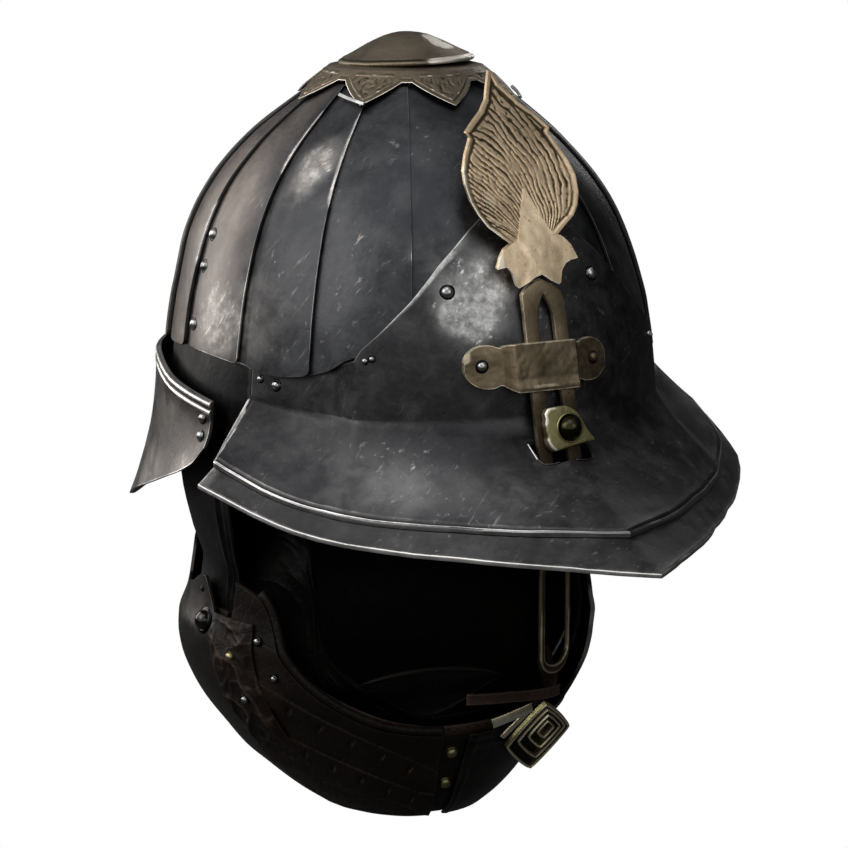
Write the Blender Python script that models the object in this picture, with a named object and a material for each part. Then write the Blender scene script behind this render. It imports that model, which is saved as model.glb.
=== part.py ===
# Visored helmet: sixteen-lame pointed skull, brow plate with a flared peak, sliding nasal bar,
# flared neck guard, cheek plates and a riveted collar.
# The helmet faces -Y, +Z is up, the wearer's left is +X. z = 0 is the crease between brow and peak,
# and the origin is the centre of the head opening at that height.
# Lengths in the tables are millimetres; everything is scaled to metres where meshes are made.

import math
import bmesh
import bpy
from mathutils import Matrix, Vector

MM = 0.001
GAP = 0.3                  # clearance between touching pieces
SHEET = 1.4                # steel sheet thickness
LAMES = 16                 # strips round the skull
LAME_STEP = 1.85           # how far each lame dives under its neighbour
BRASS = 1.6                # brass sheet thickness
NASAL_WIDTH = 19.0
NASAL_SLOT = 7.2
NASAL_THICK = 2.8
NASAL_LEAN = 0.243         # mm back for each mm up
NASAL_FRONT_Y = -125.5     # front face of the bar at NASAL_REF_Z
NASAL_REF_Z = 29.0
BAR_BOTTOM_Z = -42.0
PEAK_SLOT = (-13.0, 11.5, -142.0, -129.3)   # x0, x1, y0, y1 of the hole for the bar

# skull: height, half width
SKULL = ((-60, 103.6), (0, 103.0), (20, 101.6), (40, 98.8), (60, 94.0), (76, 88.4), (91, 80.2),
         (106, 67.8), (120, 52.2), (132, 37.2), (142, 24.6), (150, 12.5), (155, 4.5))
# lower edge of the lames: angle from the front, height
LAME_FOOT = ((0, 36.0), (30, 34.5), (39, 29.8), (44, 24.2), (49, 21.8), (56, 20.3), (62, 20.3),
             (67, 22.0), (84, 23.5), (120, 21.5), (180, 21.5))
# upper contour of the brow plate: angle, height
BROW_TOP = ((0, 93.0), (7, 87.0), (13.3, 79.0), (19.6, 68.1), (25.8, 54.0), (31.9, 42.0), (36, 34.6),
            (37.5, 30.0), (40, 28.0), (42, 25.8), (43.5, 26.0), (49, 25.6), (60, 24.4), (66, 25.5))
# outer edge of the peak: angle, radius, height, share of the flare covered by the upper layer
PEAK = ((0, 208.7, -36.2, 0.735), (5, 195.7, -35.8, 0.75), (10, 185.8, -35.2, 0.77),
        (20, 167.5, -35.2, 0.782), (30, 155.9, -34.8, 0.798), (40, 149.7, -32.6, 0.80),
        (50, 146.5, -26.5, 0.81), (56, 145.6, -21.5, 0.79), (61, 146.0, -17.2, 0.77))
# the wearer's left end of the peak is rounded off
PEAK_LEFT = PEAK[:6] + ((50, 145.3, -26.5, 0.81), (56, 138.2, -20.6, 0.79), (61, 130.0, -13.2, 0.77))
# neck guard: angle, top height, bottom height, flare at the bottom
NECK_GUARD = ((76, 5.5, -13.5, 4.2), (81, 6.5, -22.0, 4.8), (97, 9.5, -34.0, 6.0),
              (117, 15.0, -47.0, 10.5), (138, 15.5, -59.0, 16.5), (158, 15.5, -54.0, 16.0),
              (180, 15.5, -52.0, 16.0))
# collar, outside: height, centre y, half width, half length
COLLAR = ((-60, 12, 83.0, 87.0), (-74, 12, 88.3, 92.0), (-88, 15, 88.5, 92.0), (-97, 17, 90.0, 93.5),
          (-105, 18.9, 92.3, 94.9), (-113, 20.3, 92.1, 94.7), (-121, 20.6, 90.8, 93.7),
          (-131, 21.0, 87.0, 90.2), (-142, 21.4, 80.7, 84.4), (-152, 20.3, 73.5, 77.8),
          (-162, 18.2, 66.2, 71.1), (-168, 15.6, 59.8, 65.2), (-175, 12.6, 52.2, 58.0),
          (-180, 10.8, 46.0, 52.5), (-186, 9.4, 37.5, 45.0))
COLLAR_FOOT = -185.0
# upper edge of the collar's back plate: angle, height; its front corners are cut off slantwise
BACK_TOP = ((67, -119.0), (72, -110.0), (82, -97.0), (92.5, -80.0), (96, -80.5), (104, -87.0), (112, -90.0),
            (124, -90.0), (134, -68.0), (180, -68.0))
# the same edge at the wearer's left, where the corner is whole
BACK_TOP_LEFT = ((67, -87.0), (72, -84.0), (82, -81.0)) + BACK_TOP[3:]
# cheek plates, outside: height, centre y, half width, half length
CHEEK = ((-1, 0, 96.1, 114.8), (-20, 1, 95.6, 111.6), (-41, 5, 94.0, 106.0), (-63, 8, 89.0, 97.0),
         (-80, 12, 83.6, 87.0), (-97, 17, 84.0, 87.5), (-113, 20, 85.6, 87.5), (-121, 20, 82.6, 84.6),
         (-131, 20, 75.8, 78.6), (-142, 18, 68.4, 72.0))
# cheek plate outline: height, front angle, rear angle
CHEEK_EDGE = ((-1, 77, 122), (-50, 77, 122), (-88, 79, 115), (-115, 74, 100), (-133, 68, 88))
# upper rim of the throat plates, wearer's right to left: angle, height
THROAT_RIM = ((-75.5, -77.0), (-65, -82.0), (-55, -106.0), (-46, -120.0), (-35, -131.0), (-25, -137.0),
              (-15, -139.5), (0, -141.0), (36, -140.0), (44, -138.0), (50, -131.0), (56, -112.0), (61, -94.0),
              (66.5, -87.5))
# face lining, upper edge: angle, height
LINING_TOP = ((-86, -58.0), (-68, -50.0), (-56, -58.0), (-51, -76.0), (-48, -94.0), (-43, -107.0), (-28, -124.0),
              (-10, -136.0), (34, -136.0))
# nasal leaf, front face: height, y
LEAF_LINE = ((56.0, -118.94), (70, -114.4), (91, -104.2), (110, -92.2), (127, -78.2), (141, -65.5))
# leaf outline: height, left edge x, right edge x
LEAF_EDGE = ((64.2, -2.0, 2.0), (74.8, -8.0, 8.5), (78, -13.0, 14.5), (84.5, -20.8, 21.2),
             (91, -24.6, 25.0), (99, -24.2, 25.6), (106, -20.6, 24.4), (113, -15.8, 21.4),
             (119, -11.0, 20.4), (126, -4.0, 13.4), (133, -0.5, 6.6), (138, 2.4, 4.6))

for old in list(bpy.data.objects):
    bpy.data.objects.remove(old, do_unlink=True)


# ---------------------------------------------------------------- materials

def material(name, rgb, rough, metal):
    m = bpy.data.materials.new(name)
    m.use_nodes = True
    b = m.node_tree.nodes["Principled BSDF"]
    b.inputs["Base Color"].default_value = (*rgb, 1.0)
    b.inputs["Roughness"].default_value = rough
    b.inputs["Metallic"].default_value = metal
    m.diffuse_color = (*rgb, 1.0)
    return m


def finish(kind, name):
    rgb, rough, metal = {
        "steel": ((0.085, 0.088, 0.095), 0.38, 1.0),
        "steel_dark": ((0.045, 0.045, 0.05), 0.45, 1.0),
        "steel_bright": ((0.30, 0.29, 0.28), 0.35, 1.0),
        "brass": ((0.36, 0.27, 0.13), 0.48, 1.0),
        "brass_dark": ((0.16, 0.12, 0.07), 0.52, 1.0),
        "leather": ((0.040, 0.026, 0.018), 0.62, 0.0),
        "leather_brown": ((0.075, 0.048, 0.030), 0.60, 0.0),
    }[kind]
    return material("mat_" + name, rgb, rough, metal)


# ---------------------------------------------------------------- numbers

def look(table, x, col=1):
    """Straight interpolation in a table sorted by its first column, rising or falling."""
    rows = table if table[0][0] < table[-1][0] else tuple(reversed(table))
    if x <= rows[0][0]:
        return rows[0][col]
    for a, b in zip(rows, rows[1:]):
        if x <= b[0]:
            t = (x - a[0]) / (b[0] - a[0])
            return a[col] + (b[col] - a[col]) * t
    return rows[-1][col]


def smooth(table, x, col=1):
    """Cubic (monotone) interpolation, for forms that are turned or beaten smooth."""
    rows = table if table[0][0] < table[-1][0] else tuple(reversed(table))
    if x <= rows[0][0]:
        return rows[0][col]
    if x >= rows[-1][0]:
        return rows[-1][col]
    n = len(rows)
    k = max(i for i in range(n - 1) if rows[i][0] <= x)

    def slope(i):
        return (rows[i + 1][col] - rows[i][col]) / (rows[i + 1][0] - rows[i][0])

    def tangent(i):
        if i == 0:
            return slope(0)
        if i == n - 1:
            return slope(n - 2)
        a, b = slope(i - 1), slope(i)
        return 0.0 if a * b <= 0 else 2 * a * b / (a + b)

    h = rows[k + 1][0] - rows[k][0]
    t = (x - rows[k][0]) / h
    m0, m1 = tangent(k) * h, tangent(k + 1) * h
    p0, p1 = rows[k][col], rows[k + 1][col]
    return ((2 * t ** 3 - 3 * t ** 2 + 1) * p0 + (t ** 3 - 2 * t ** 2 + t) * m0
            + (-2 * t ** 3 + 3 * t ** 2) * p1 + (t ** 3 - t ** 2) * m1)


def ease(x, a, b):
    t = min(1.0, max(0.0, (x - a) / (b - a)))
    return t * t * (3 - 2 * t)


def mix(a, b, t):
    return a + (b - a) * t


def polar(phi, r, z, cy=0.0):
    """phi in degrees from the front, positive to the wearer's left."""
    p = math.radians(phi)
    return Vector((r * math.sin(p), cy - r * math.cos(p), z))


def ellipse_r(phi, a, b):
    p = math.radians(phi)
    return 1.0 / math.sqrt((math.sin(p) / a) ** 2 + (math.cos(p) / b) ** 2)


def stretch(z):
    return 1.0 + 0.19 * min(1.0, max(0.0, (150.0 - max(z, 0.0)) / 110.0)) ** 0.7


def skull_r(phi, z, off=0.0):
    a = smooth(SKULL, z)
    return ellipse_r(phi, a, a * stretch(z)) + off


def skull(phi, z, off=0.0):
    return polar(phi, skull_r(phi, z, off), z)


def form(table, phi, z, off=0.0):
    """A point on a form given by (height, centre y, half width, half length)."""
    cy = smooth(table, z, 1)
    return polar(phi, ellipse_r(phi, smooth(table, z, 2), smooth(table, z, 3)) + off, z, cy)


def steps(a, b, n):
    return [a + (b - a) * i / n for i in range(n + 1)]


# ---------------------------------------------------------------- meshes

def build(name, verts, faces, kind, origin=None, sharp=35.0):
    """One object from points in millimetres, origin at its own middle unless one is given."""
    if origin is None:
        lo = Vector(min(v[i] for v in verts) for i in range(3))
        hi = Vector(max(v[i] for v in verts) for i in range(3))
        origin = (lo + hi) / 2
    origin = Vector(origin)
    me = bpy.data.meshes.new(name)
    me.from_pydata([(Vector(v) - origin) * MM for v in verts], [], faces)
    bm = bmesh.new()
    bm.from_mesh(me)
    bmesh.ops.recalc_face_normals(bm, faces=bm.faces)
    bmesh.ops.triangulate(bm, faces=[f for f in bm.faces if len(f.verts) > 3])
    if bm.calc_volume(signed=True) < 0:
        bmesh.ops.reverse_faces(bm, faces=bm.faces)
    bm.to_mesh(me)
    bm.free()
    me.shade_smooth()
    me.set_sharp_from_angle(angle=math.radians(sharp))
    me.materials.append(finish(kind, name))
    ob = bpy.data.objects.new(name, me)
    bpy.context.scene.collection.objects.link(ob)
    ob.location = origin * MM
    return ob


def slab(name, outer, inner, kind, wrap=False, origin=None):
    """A sheet between two equal grids of points, outer[i][j] and inner[i][j], closed at its edges.
    wrap joins the last row of i to the first."""
    ni, nj = len(outer), len(outer[0])
    verts = [p for row in outer for p in row] + [p for row in inner for p in row]
    base = ni * nj

    def o(i, j):
        return (i % ni) * nj + j

    faces = []
    for i in range(ni if wrap else ni - 1):
        for j in range(nj - 1):
            q = [o(i, j), o(i + 1, j), o(i + 1, j + 1), o(i, j + 1)]
            faces.append(q)
            faces.append([base + k for k in reversed(q)])
        for j in (0, nj - 1):
            faces.append([o(i, j), o(i + 1, j), base + o(i + 1, j), base + o(i, j)])
    if not wrap:
        for j in range(nj - 1):
            for i in (0, ni - 1):
                faces.append([o(i, j), o(i, j + 1), base + o(i, j + 1), base + o(i, j)])
    return build(name, verts, faces, kind, origin)


def shell(name, point, us, vs_of, thick, kind, wrap=False):
    """A sheet of constant thickness. point(u, v, off) gives a point 'off' mm outside the sheet's face."""
    outer = [[point(u, v, 0.0) for v in vs_of(u)] for u in us]
    inner = [[point(u, v, -thick) for v in vs_of(u)] for u in us]
    return slab(name, outer, inner, kind, wrap)


def tube(name, path, section, kind, closed=False):
    """section is a ring of (side, out) offsets; path rows are (point, side vector, out vector)."""
    n, k = len(path), len(section)
    verts = [p + s * a + o * b for p, s, o in path for a, b in section]
    faces = []
    for i in range(n if closed else n - 1):
        for j in range(k):
            a, b = i * k + j, i * k + (j + 1) % k
            c, d = ((i + 1) % n) * k + (j + 1) % k, ((i + 1) % n) * k + j
            faces.append([a, b, c, d])
    if not closed:
        faces.append(list(range(k)))
        faces.append([(n - 1) * k + j for j in reversed(range(k))])
    return build(name, verts, faces, kind)


def ring(r, n, squash=1.0):
    return [(r * math.cos(2 * math.pi * i / n), r * squash * math.sin(2 * math.pi * i / n)) for i in range(n)]


def frames(points, out_of):
    """Path rows for tube(): side = tangent x out."""
    rows = []
    for i, p in enumerate(points):
        t = (points[min(i + 1, len(points) - 1)] - points[max(i - 1, 0)]).normalized()
        o = out_of(i, p)
        o = (o - t * o.dot(t)).normalized()
        rows.append((p, t.cross(o), o))
    return rows


def stud(name, at, out, radius, height, kind, sides=8):
    """A domed rivet head standing on a face, its axis along 'out'."""
    out = out.normalized()
    rot = out.to_track_quat("Z", "X").to_matrix()
    prof = [(radius, 0.0), (radius * 0.94, height * 0.45), (radius * 0.6, height * 0.88)]
    verts = [Vector((r * math.cos(2 * math.pi * i / sides), r * math.sin(2 * math.pi * i / sides), h))
             for r, h in prof for i in range(sides)]
    top = len(verts)
    verts.append(Vector((0, 0, height)))
    faces = [list(reversed(range(sides)))]
    for k in range(len(prof) - 1):
        for i in range(sides):
            a, b = k * sides + i, k * sides + (i + 1) % sides
            faces.append([a, b, b + sides, a + sides])
    last = (len(prof) - 1) * sides
    for i in range(sides):
        faces.append([last + i, last + (i + 1) % sides, top])
    ob = build(name, verts, faces, kind, origin=(0, 0, 0))
    ob.location = (at + out * GAP) * MM
    ob.rotation_euler = rot.to_euler()
    return ob


def prism(name, outline, y0, y1, kind, hole=None, at=(0, 0, 0)):
    """An outline in x, z extruded along y; hole is a second outline of the same number of points."""
    n = len(outline)
    verts = [Vector((x, y, z)) for y in (y0, y1) for x, z in outline]
    faces = []
    if hole is None:
        faces += [list(range(n)), list(reversed(range(n, 2 * n)))]
    else:
        verts += [Vector((x, y, z)) for y in (y0, y1) for x, z in hole]
        for i in range(n):
            j = (i + 1) % n
            faces.append([i, j, 2 * n + j, 2 * n + i])
            faces.append([n + i, 3 * n + i, 3 * n + j, n + j])
            faces.append([2 * n + i, 2 * n + j, 3 * n + j, 3 * n + i])
    for i in range(n):
        j = (i + 1) % n
        faces.append([i, n + i, n + j, j])
    ob = build(name, verts, faces, kind, origin=(0, 0, 0))
    ob.location = Vector(at) * MM
    return ob


def normal_out(point, eps=0.5):
    """Outward normal of a surface function point(phi, z)."""
    def n(phi, z):
        a = point(phi + eps, z) - point(phi - eps, z)
        b = point(phi, z + eps) - point(phi, z - eps)
        return a.cross(b).normalized()
    return n


# ---------------------------------------------------------------- skull: sixteen lames

# front edges of the lames r1..r7 and of the back lame
EDGES = (25.7, 48.0, 69.2, 95.3, 113.5, 131.5, 149.5, 166.5)
ROWS = 10


def foot(phi):
    return smooth(LAME_FOOT, min(180.0, abs(phi)))


def lame_grid(side, e0, e1, rear):
    """A strip from its front edge e0 to the next strip's edge e1; 'rear' runs on underneath that one."""
    outer, inner = [], []
    for u in (0.0, 0.33, 0.67, 0.95, (e1 - e0 + rear) / (e1 - e0)):
        t = min(1.0, u / 0.95)
        ph = side * mix(e0, e1, u)
        col_o, col_i = [], []
        for k in range(ROWS + 1):
            s = k / ROWS
            z = mix(foot(ph), 131.0, s)
            # slightly arched between its edges
            rise = 0.8 * 4 * t * (1 - t) * (1.0 - 0.7 * s) - LAME_STEP * t - 0.9
            col_o.append(skull(ph, z, rise))
            col_i.append(skull(ph, z, rise - SHEET))
        outer.append(col_o)
        inner.append(col_i)
    return outer, inner


def wide_grid(edges, sink):
    """The front and back strips, alike on both sides."""
    outer, inner = [], []
    for ph in edges:
        t = abs(ph - (edges[0] + edges[-1]) / 2) / (edges[-1] - edges[0]) * 2
        col_o, col_i = [], []
        for k in range(ROWS + 1):
            s = k / ROWS
            z = mix(foot(ph if ph < 180 else 360 - ph), 131.0, s)
            rise = 0.8 * max(0.0, 1 - (t / 0.84) ** 2) * (1.0 - 0.7 * s) - sink - 0.9
            col_o.append(skull(ph, z, rise))
            col_i.append(skull(ph, z, rise - SHEET))
        outer.append(col_o)
        inner.append(col_i)
    return outer, inner


# a strip's rear edge dives under the next one; the front strip has both edges underneath
OVER = 4.0    # degrees that an edge runs on beneath its neighbour
e = EDGES[0]
slab("lame_front", *wide_grid((-e - OVER, -e + 1, -e * 0.6, -e * 0.2, e * 0.2, e * 0.6, e - 1, e + OVER), LAME_STEP),
     "steel")
for i in range(7):
    for side, tag in ((-1, "r"), (1, "l")):
        slab("lame_%s%d" % (tag, i + 1), *lame_grid(side, EDGES[i], EDGES[i + 1], OVER), "steel")
e = EDGES[7]
slab("lame_back", *wide_grid((e, mix(e, 180, 0.5), 180, mix(360 - e, 180, 0.5), 360 - e), 0.0), "steel")

# ---------------------------------------------------------------- crown

CROWN_TURN = -4.0     # the petals' first centre line


def petal_drop(phi):
    k = ((phi - CROWN_TURN) / 45.0) % 1.0
    k = min(k, 1 - k) * 2            # 0 on a petal's centre line, 1 between two petals
    return max(0.0, 1.0 - k / 0.86)


crown_us = [CROWN_TURN + 360.0 * i / 48 for i in range(48)]


def crown_row(phi, s, off):
    low = 132.6 - 8.6 * petal_drop(phi)
    z = mix(137.0, low, s)
    return skull(phi, z, 1.0 + 0.6 + off)


# the petals hang from a closed flat plate, whose rows are: plate rim, then three down the petals
verts = []
for off, top in ((0.0, 138.0), (-1.2, 136.8)):
    for ph in crown_us:
        verts.append(polar(ph, 28.4 + off * 0.3, top))
        verts += [crown_row(ph, s, off) for s in (0, 0.5, 1)]
n, base = len(crown_us), 4 * len(crown_us)
faces = []
for i in range(n):
    a = (i + 1) % n
    for j in range(3):
        q = [i * 4 + j, a * 4 + j, a * 4 + j + 1, i * 4 + j + 1]
        faces += [q, [base + k for k in reversed(q)]]
    faces.append([i * 4 + 3, base + i * 4 + 3, base + a * 4 + 3, a * 4 + 3])
verts += [Vector((0, 0, 138.0)), Vector((0, 0, 136.8))]
for i in range(n):
    a = (i + 1) % n
    faces.append([i * 4, a * 4, 2 * base])
    faces.append([base + a * 4, base + i * 4, 2 * base + 1])
build("crown_rosette", verts, faces, "brass_dark")

# the cap is a turned dome with a rim: radius, height of the outer face
CAP = ((28.5, 138.4), (28.9, 139.4), (28.0, 140.5), (24.0, 142.3), (16.5, 146.3), (8.0, 149.6), (3.5, 150.5))
cap_n = 24
cap_o = [[polar(360.0 * i / cap_n, r, z) for r, z in CAP] for i in range(cap_n)]
cap_i = [[polar(360.0 * i / cap_n, max(r - (0.9 if k < 2 else 1.1), 2.2), z - ((0.0, 0.5)[k] if k < 2 else 1.5))
          for k, (r, z) in enumerate(CAP)] for i in range(cap_n)]
verts = [p for row in cap_o for p in row] + [p for row in cap_i for p in row]
nj, base = len(CAP), cap_n * len(CAP)
faces = []
for i in range(cap_n):
    a = (i + 1) % cap_n
    for j in range(nj - 1):
        q = [i * nj + j, a * nj + j, a * nj + j + 1, i * nj + j + 1]
        faces += [q, [base + k for k in reversed(q)]]
    faces.append([i * nj, base + i * nj, base + a * nj, a * nj])
verts += [Vector((0, 0, 150.9)), Vector((0, 0, 149.2))]
for i in range(cap_n):
    a = (i + 1) % cap_n
    faces.append([i * nj + nj - 1, a * nj + nj - 1, 2 * base])
    faces.append([base + a * nj + nj - 1, base + i * nj + nj - 1, 2 * base + 1])
build("crown_cap", verts, faces, "brass")

# ---------------------------------------------------------------- brow plate and peak


def crease_z(phi):
    return 2.6 + 6.4 * (min(66.0, abs(phi)) / 63.0) ** 1.6


def plate_off(phi):
    """Outside face of the brow plate: over the lames in front, under them at the sides."""
    return mix(1.9, -4.6, ease(abs(phi), 36.0, 43.0))


def flare(phi, s, up=0.0):
    """The peak's flare, s = 0 at the crease and 1 at its edge; 'up' lifts it off."""
    f = abs(phi)
    zc = crease_z(phi)
    r0 = skull_r(phi, zc, plate_off(phi))
    table = PEAK_LEFT if phi > 0 else PEAK
    r1, z1 = look(table, f, 1), smooth(table, f, 2)
    return polar(phi, mix(r0, r1, s), mix(zc, z1, s ** 0.85) + up)


BROW_EDGE = 65.6
half = [0, 2.5, 5, 8, 11, 14.5, 18, 22, 26, 30, 33.5, 36, 37.5, 40, 42, 44, 47, 51, 56, 61, BROW_EDGE]
brow_us = [-a for a in reversed(half[1:])] + half
brow_o, brow_i = [], []
for ph in brow_us:
    f = abs(ph)
    zc, zt = crease_z(ph), look(BROW_TOP, f)
    co, ci = [], []
    for s in (1.0, 0.86, 0.7, 0.52, 0.34, 0.17, 0.06):
        z = mix(zc, zt, s)
        co.append(skull(ph, z, plate_off(ph)))
        ci.append(skull(ph, z, plate_off(ph) - SHEET))
    share = look(PEAK, f, 3)
    # the rear corner of the peak is cut back a little towards its edge
    fan = min(ph, 61.0) if ph > 0 else max(ph, -61.0)
    for s in (0.06, 0.2, 0.4, 0.6, 0.8, 1.0):
        a = mix(ph, fan, s)
        p = flare(a, s * share, 1.7)
        q = flare(a, s * share, 0.3)
        if s < 0.1:
            q = q + (skull(ph, zc, 0) * 1.0 - p).normalized() * 0.6
        co.append(p)
        ci.append(q)
    brow_o.append(co)
    brow_i.append(ci)
brow = slab("brow_peak", brow_o, brow_i, "steel")

border_us = [-61] + [-a for a in reversed(half[1:-2])] + half[:-2] + [61]
border_o = [[flare(a, mix(look(PEAK, abs(a), 3) - 0.14, 1.0, s), -0.1) for s in (0, 0.45, 0.8, 1.0)]
            for a in border_us]
border_i = [[p - Vector((0, 0, 1.5)) for p in row] for row in border_o]
slab("peak_border", border_o, border_i, "steel")

# the hole for the nasal bar, cut straight down through the peak
x0, x1, y0, y1 = PEAK_SLOT
cut = build("cut_slot", [Vector((x, y, z)) for z in (-30, 14) for x, y in ((x0, y0 + 4), (x0 + 5, y0),
            (x1 - 5, y0), (x1, y0 + 4), (x1, y1), (x0, y1))],
            [[0, 1, 2, 3, 4, 5], [11, 10, 9, 8, 7, 6]] + [[i, 6 + i, 6 + (i + 1) % 6, (i + 1) % 6]
                                                      for i in range(6)], "steel")
cut.hide_render = True
cut.display_type = "WIRE"
mod = brow.modifiers.new("slot", "BOOLEAN")
mod.operation = "DIFFERENCE"
mod.solver = "EXACT"
mod.object = cut

# ---------------------------------------------------------------- band and neck guard


def band_pt(phi, v, off):
    return skull(phi, mix(-6.0, foot(min(phi, 360 - phi)) + 4.0, v), -4.6 + off)


shell("skull_band", band_pt, steps(BROW_EDGE + 0.4, 360 - BROW_EDGE - 0.4, 32), lambda u: steps(0, 1, 3),
      SHEET, "steel_dark")


def guard_row(phi):
    f = min(phi, 360 - phi)
    zt, zb, fl = look(NECK_GUARD, f, 1), look(NECK_GUARD, f, 2), look(NECK_GUARD, f, 3)
    outer, inner = [], []
    # rolled double lip at the top edge, then the plate, then the flare
    for dz, bulge in ((0.0, 1.2), (-1.0, 2.3), (-2.4, 2.3), (-3.2, 1.6), (-4.0, 2.3), (-5.4, 2.2)):
        outer.append(skull(phi, zt + dz, 0.4 + bulge))
        inner.append(skull(phi, zt + dz, 0.4))
    for s in (0.25, 0.5, 0.76, 1.0):
        z = mix(zt - 5.4, zb, s)
        k = 0.4 + (fl - 0.4) * s ** 2.0
        outer.append(skull(phi, z, k + 1.6))
        inner.append(skull(phi, z, k))
    return outer, inner


guard_us = [76, 81, 89, 97, 107, 117, 124, 131, 138, 145, 152, 160, 170]
guard_us = guard_us + [180] + [360 - a for a in reversed(guard_us)]
rows = [guard_row(a) for a in guard_us]
slab("neck_guard", [r[0] for r in rows], [r[1] for r in rows], "steel")


def tail_pt(phi, v, off):
    f = min(phi, 360 - phi)
    zb = look(NECK_GUARD, f, 2)
    zt = look(NECK_GUARD, f, 1) - 5.4
    z = mix(-18.0, -61.0 + 9.0 * abs(f - 180) / 38.0 * 0.6, v)
    s = min(1.25, max(0.0, (z - zt) / (zb - zt)))
    k = 0.4 + (look(NECK_GUARD, f, 3) - 0.4) * s ** 2.0 + 1.6 + GAP
    return skull(phi, z, k + 1.8 + off)


shell("neck_guard_tail", tail_pt, steps(142, 218, 12), lambda u: steps(0, 1, 5), 1.4, "steel_dark")

# ---------------------------------------------------------------- nasal


def bar_y(z):
    """Front face of the bar."""
    return NASAL_FRONT_Y - (NASAL_REF_Z - z) * NASAL_LEAN


def leaf_y(z):
    return smooth(LEAF_LINE, z)


slide = bpy.data.objects.new("nasal_slide", None)
bpy.context.scene.collection.objects.link(slide)
slide.location = Vector((0, bar_y(NASAL_REF_Z) + NASAL_THICK / 2, NASAL_REF_Z)) * MM

# forked bar: a closed frame with one long slot, its head under the leaf's star collar
w, g = NASAL_WIDTH / 2, NASAL_SLOT / 2
head_z = 57.6
outline = [(-w, BAR_BOTTOM_Z + 5), (-w + 5, BAR_BOTTOM_Z), (w - 5, BAR_BOTTOM_Z), (w, BAR_BOTTOM_Z + 5),
           (w, head_z - 9), (w, head_z - 3), (w - 2, head_z), (-w + 2, head_z), (-w, head_z - 3), (-w, head_z - 9)]
hole = [(-g, BAR_BOTTOM_Z + 14), (-g + 2, BAR_BOTTOM_Z + 12), (g - 2, BAR_BOTTOM_Z + 12), (g, BAR_BOTTOM_Z + 14),
        (g, head_z - 9), (g - 1.2, head_z - 5.5), (0.7, head_z - 3.4), (-0.7, head_z - 3.4),
        (-g + 1.2, head_z - 5.5), (-g, head_z - 9)]
bar = prism("nasal_bar", outline, 0.0, NASAL_THICK, "brass_dark", hole)
for v in bar.data.vertices:
    v.co.y += bar_y(v.co.z / MM) * MM
bar.parent = slide
bar.location = -slide.location

# leaf with its star collar: one brass sheet that bends back over the skull
star = [(-2.0, 64.2), (-9.4, 58.6), (-11.8, 66.8), (-18.0, 67.0), (-12.6, 74.4), (-8.0, 74.8)]
star_r = [(2.0, 64.2), (9.2, 58.6), (12.4, 66.8), (18.0, 68.2), (13.0, 74.6), (8.5, 74.8)]
left = star + [(a, z) for z, a, b in LEAF_EDGE[2:]]
right = star_r + [(b, z) for z, a, b in LEAF_EDGE[2:]]
lv, cols = [], 4
for (xa, za), (xb, zb) in zip(left, right):
    for j in range(cols + 1):
        t = j / cols
        x, z = mix(xa, xb, t), mix(za, zb, t)
        y = leaf_y(z)
        lv.append(Vector((x, y, z)))
nl = len(left)
count = len(lv)
lv += [p + Vector((0, BRASS, 0.25 * BRASS)) for p in lv]
lf = []
for i in range(nl - 1):
    for j in range(cols):
        q = [i * (cols + 1) + j, i * (cols + 1) + j + 1, (i + 1) * (cols + 1) + j + 1, (i + 1) * (cols + 1) + j]
        lf += [q, [count + k for k in reversed(q)]]
    for j in (0, cols):
        a, b = i * (cols + 1) + j, (i + 1) * (cols + 1) + j
        lf.append([a, b, count + b, count + a])
for j in range(cols):
    for i in (0, nl - 1):
        a = i * (cols + 1) + j
        lf.append([a, a + 1, count + a + 1, count + a])
leaf = build("nasal_leaf", lv, lf, "brass", origin=(0, 0, 0))
leaf.parent = slide
leaf.location = -slide.location

# bracket: a saddle over the bar with a round ear riveted down on each side, set a little to the right
BRACKET_X = -3.0
ears = []
for x in steps(-31.2, 31.2, 32):
    ears.append((math.degrees(math.asin((x + BRACKET_X) / 120.0)), x))
outer, inner = [], []
for ph, x in ears:
    f = abs(x)
    h = mix(9.2, 8.4 if f < 23 else max(1.8, math.sqrt(max(0.0, 8.4 ** 2 - (f - 23.0) ** 2))), ease(f, 13.5, 18.0))
    h -= 1.2 * math.exp(-((f - 17.0) / 2.2) ** 2)
    col_o, col_i = [], []
    for s in (-1, -0.5, 0, 0.5, 1):
        z = 29.0 + h * s
        seat = skull(ph, z, 2.3)
        lift = 1 - ease(f, 13.4, 16.2)
        y_in = mix(seat.y, bar_y(z) - 0.5, lift)
        col_i.append(Vector((x + BRACKET_X, y_in, z)))
        col_o.append(Vector((x + BRACKET_X, y_in - 1.8, z)))
    outer.append(col_o)
    inner.append(col_i)
slab("nasal_bracket", outer, inner, "brass_dark")

for side, tag in ((-1, "r"), (1, "l")):
    ph = math.degrees(math.asin((side * 24.0 + BRACKET_X) / 120.0))
    stud("rivet_bracket_" + tag, skull(ph, 29.4, 2.3 + 1.8), Vector((math.sin(math.radians(ph)), -1, 0.16)), 2.6, 1.6,
         "steel_bright")

# clamp: a washer plate, square on one side and drawn to a point on the other, with a domed stud
WASHER = ((-9.4, 7.9), (-7.0, 8.6), (-1.1, 9.0), (3.3, 6.8), (5.9, 3.3), (7.9, -0.7), (11.2, -5.8), (3.8, -6.6),
          (-3.1, -7.9), (-7.5, -8.5), (-10.0, -5.6), (-10.4, 2.8))
wash_x, wash_z = 3.0, 4.4
wash_y = bar_y(wash_z) - 0.4
washer = prism("nasal_washer", WASHER, -3.6, 0.0, "brass", at=(wash_x, wash_y, wash_z))
washer.rotation_euler = (math.radians(-13.6), 0, 0)
dirn = Vector((0, -1, NASAL_LEAN)).normalized()
stud("nasal_stud", Vector((wash_x, wash_y, wash_z)) + dirn * 3.6, dirn, 5.4, 4.2, "brass_dark", sides=16)

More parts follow.
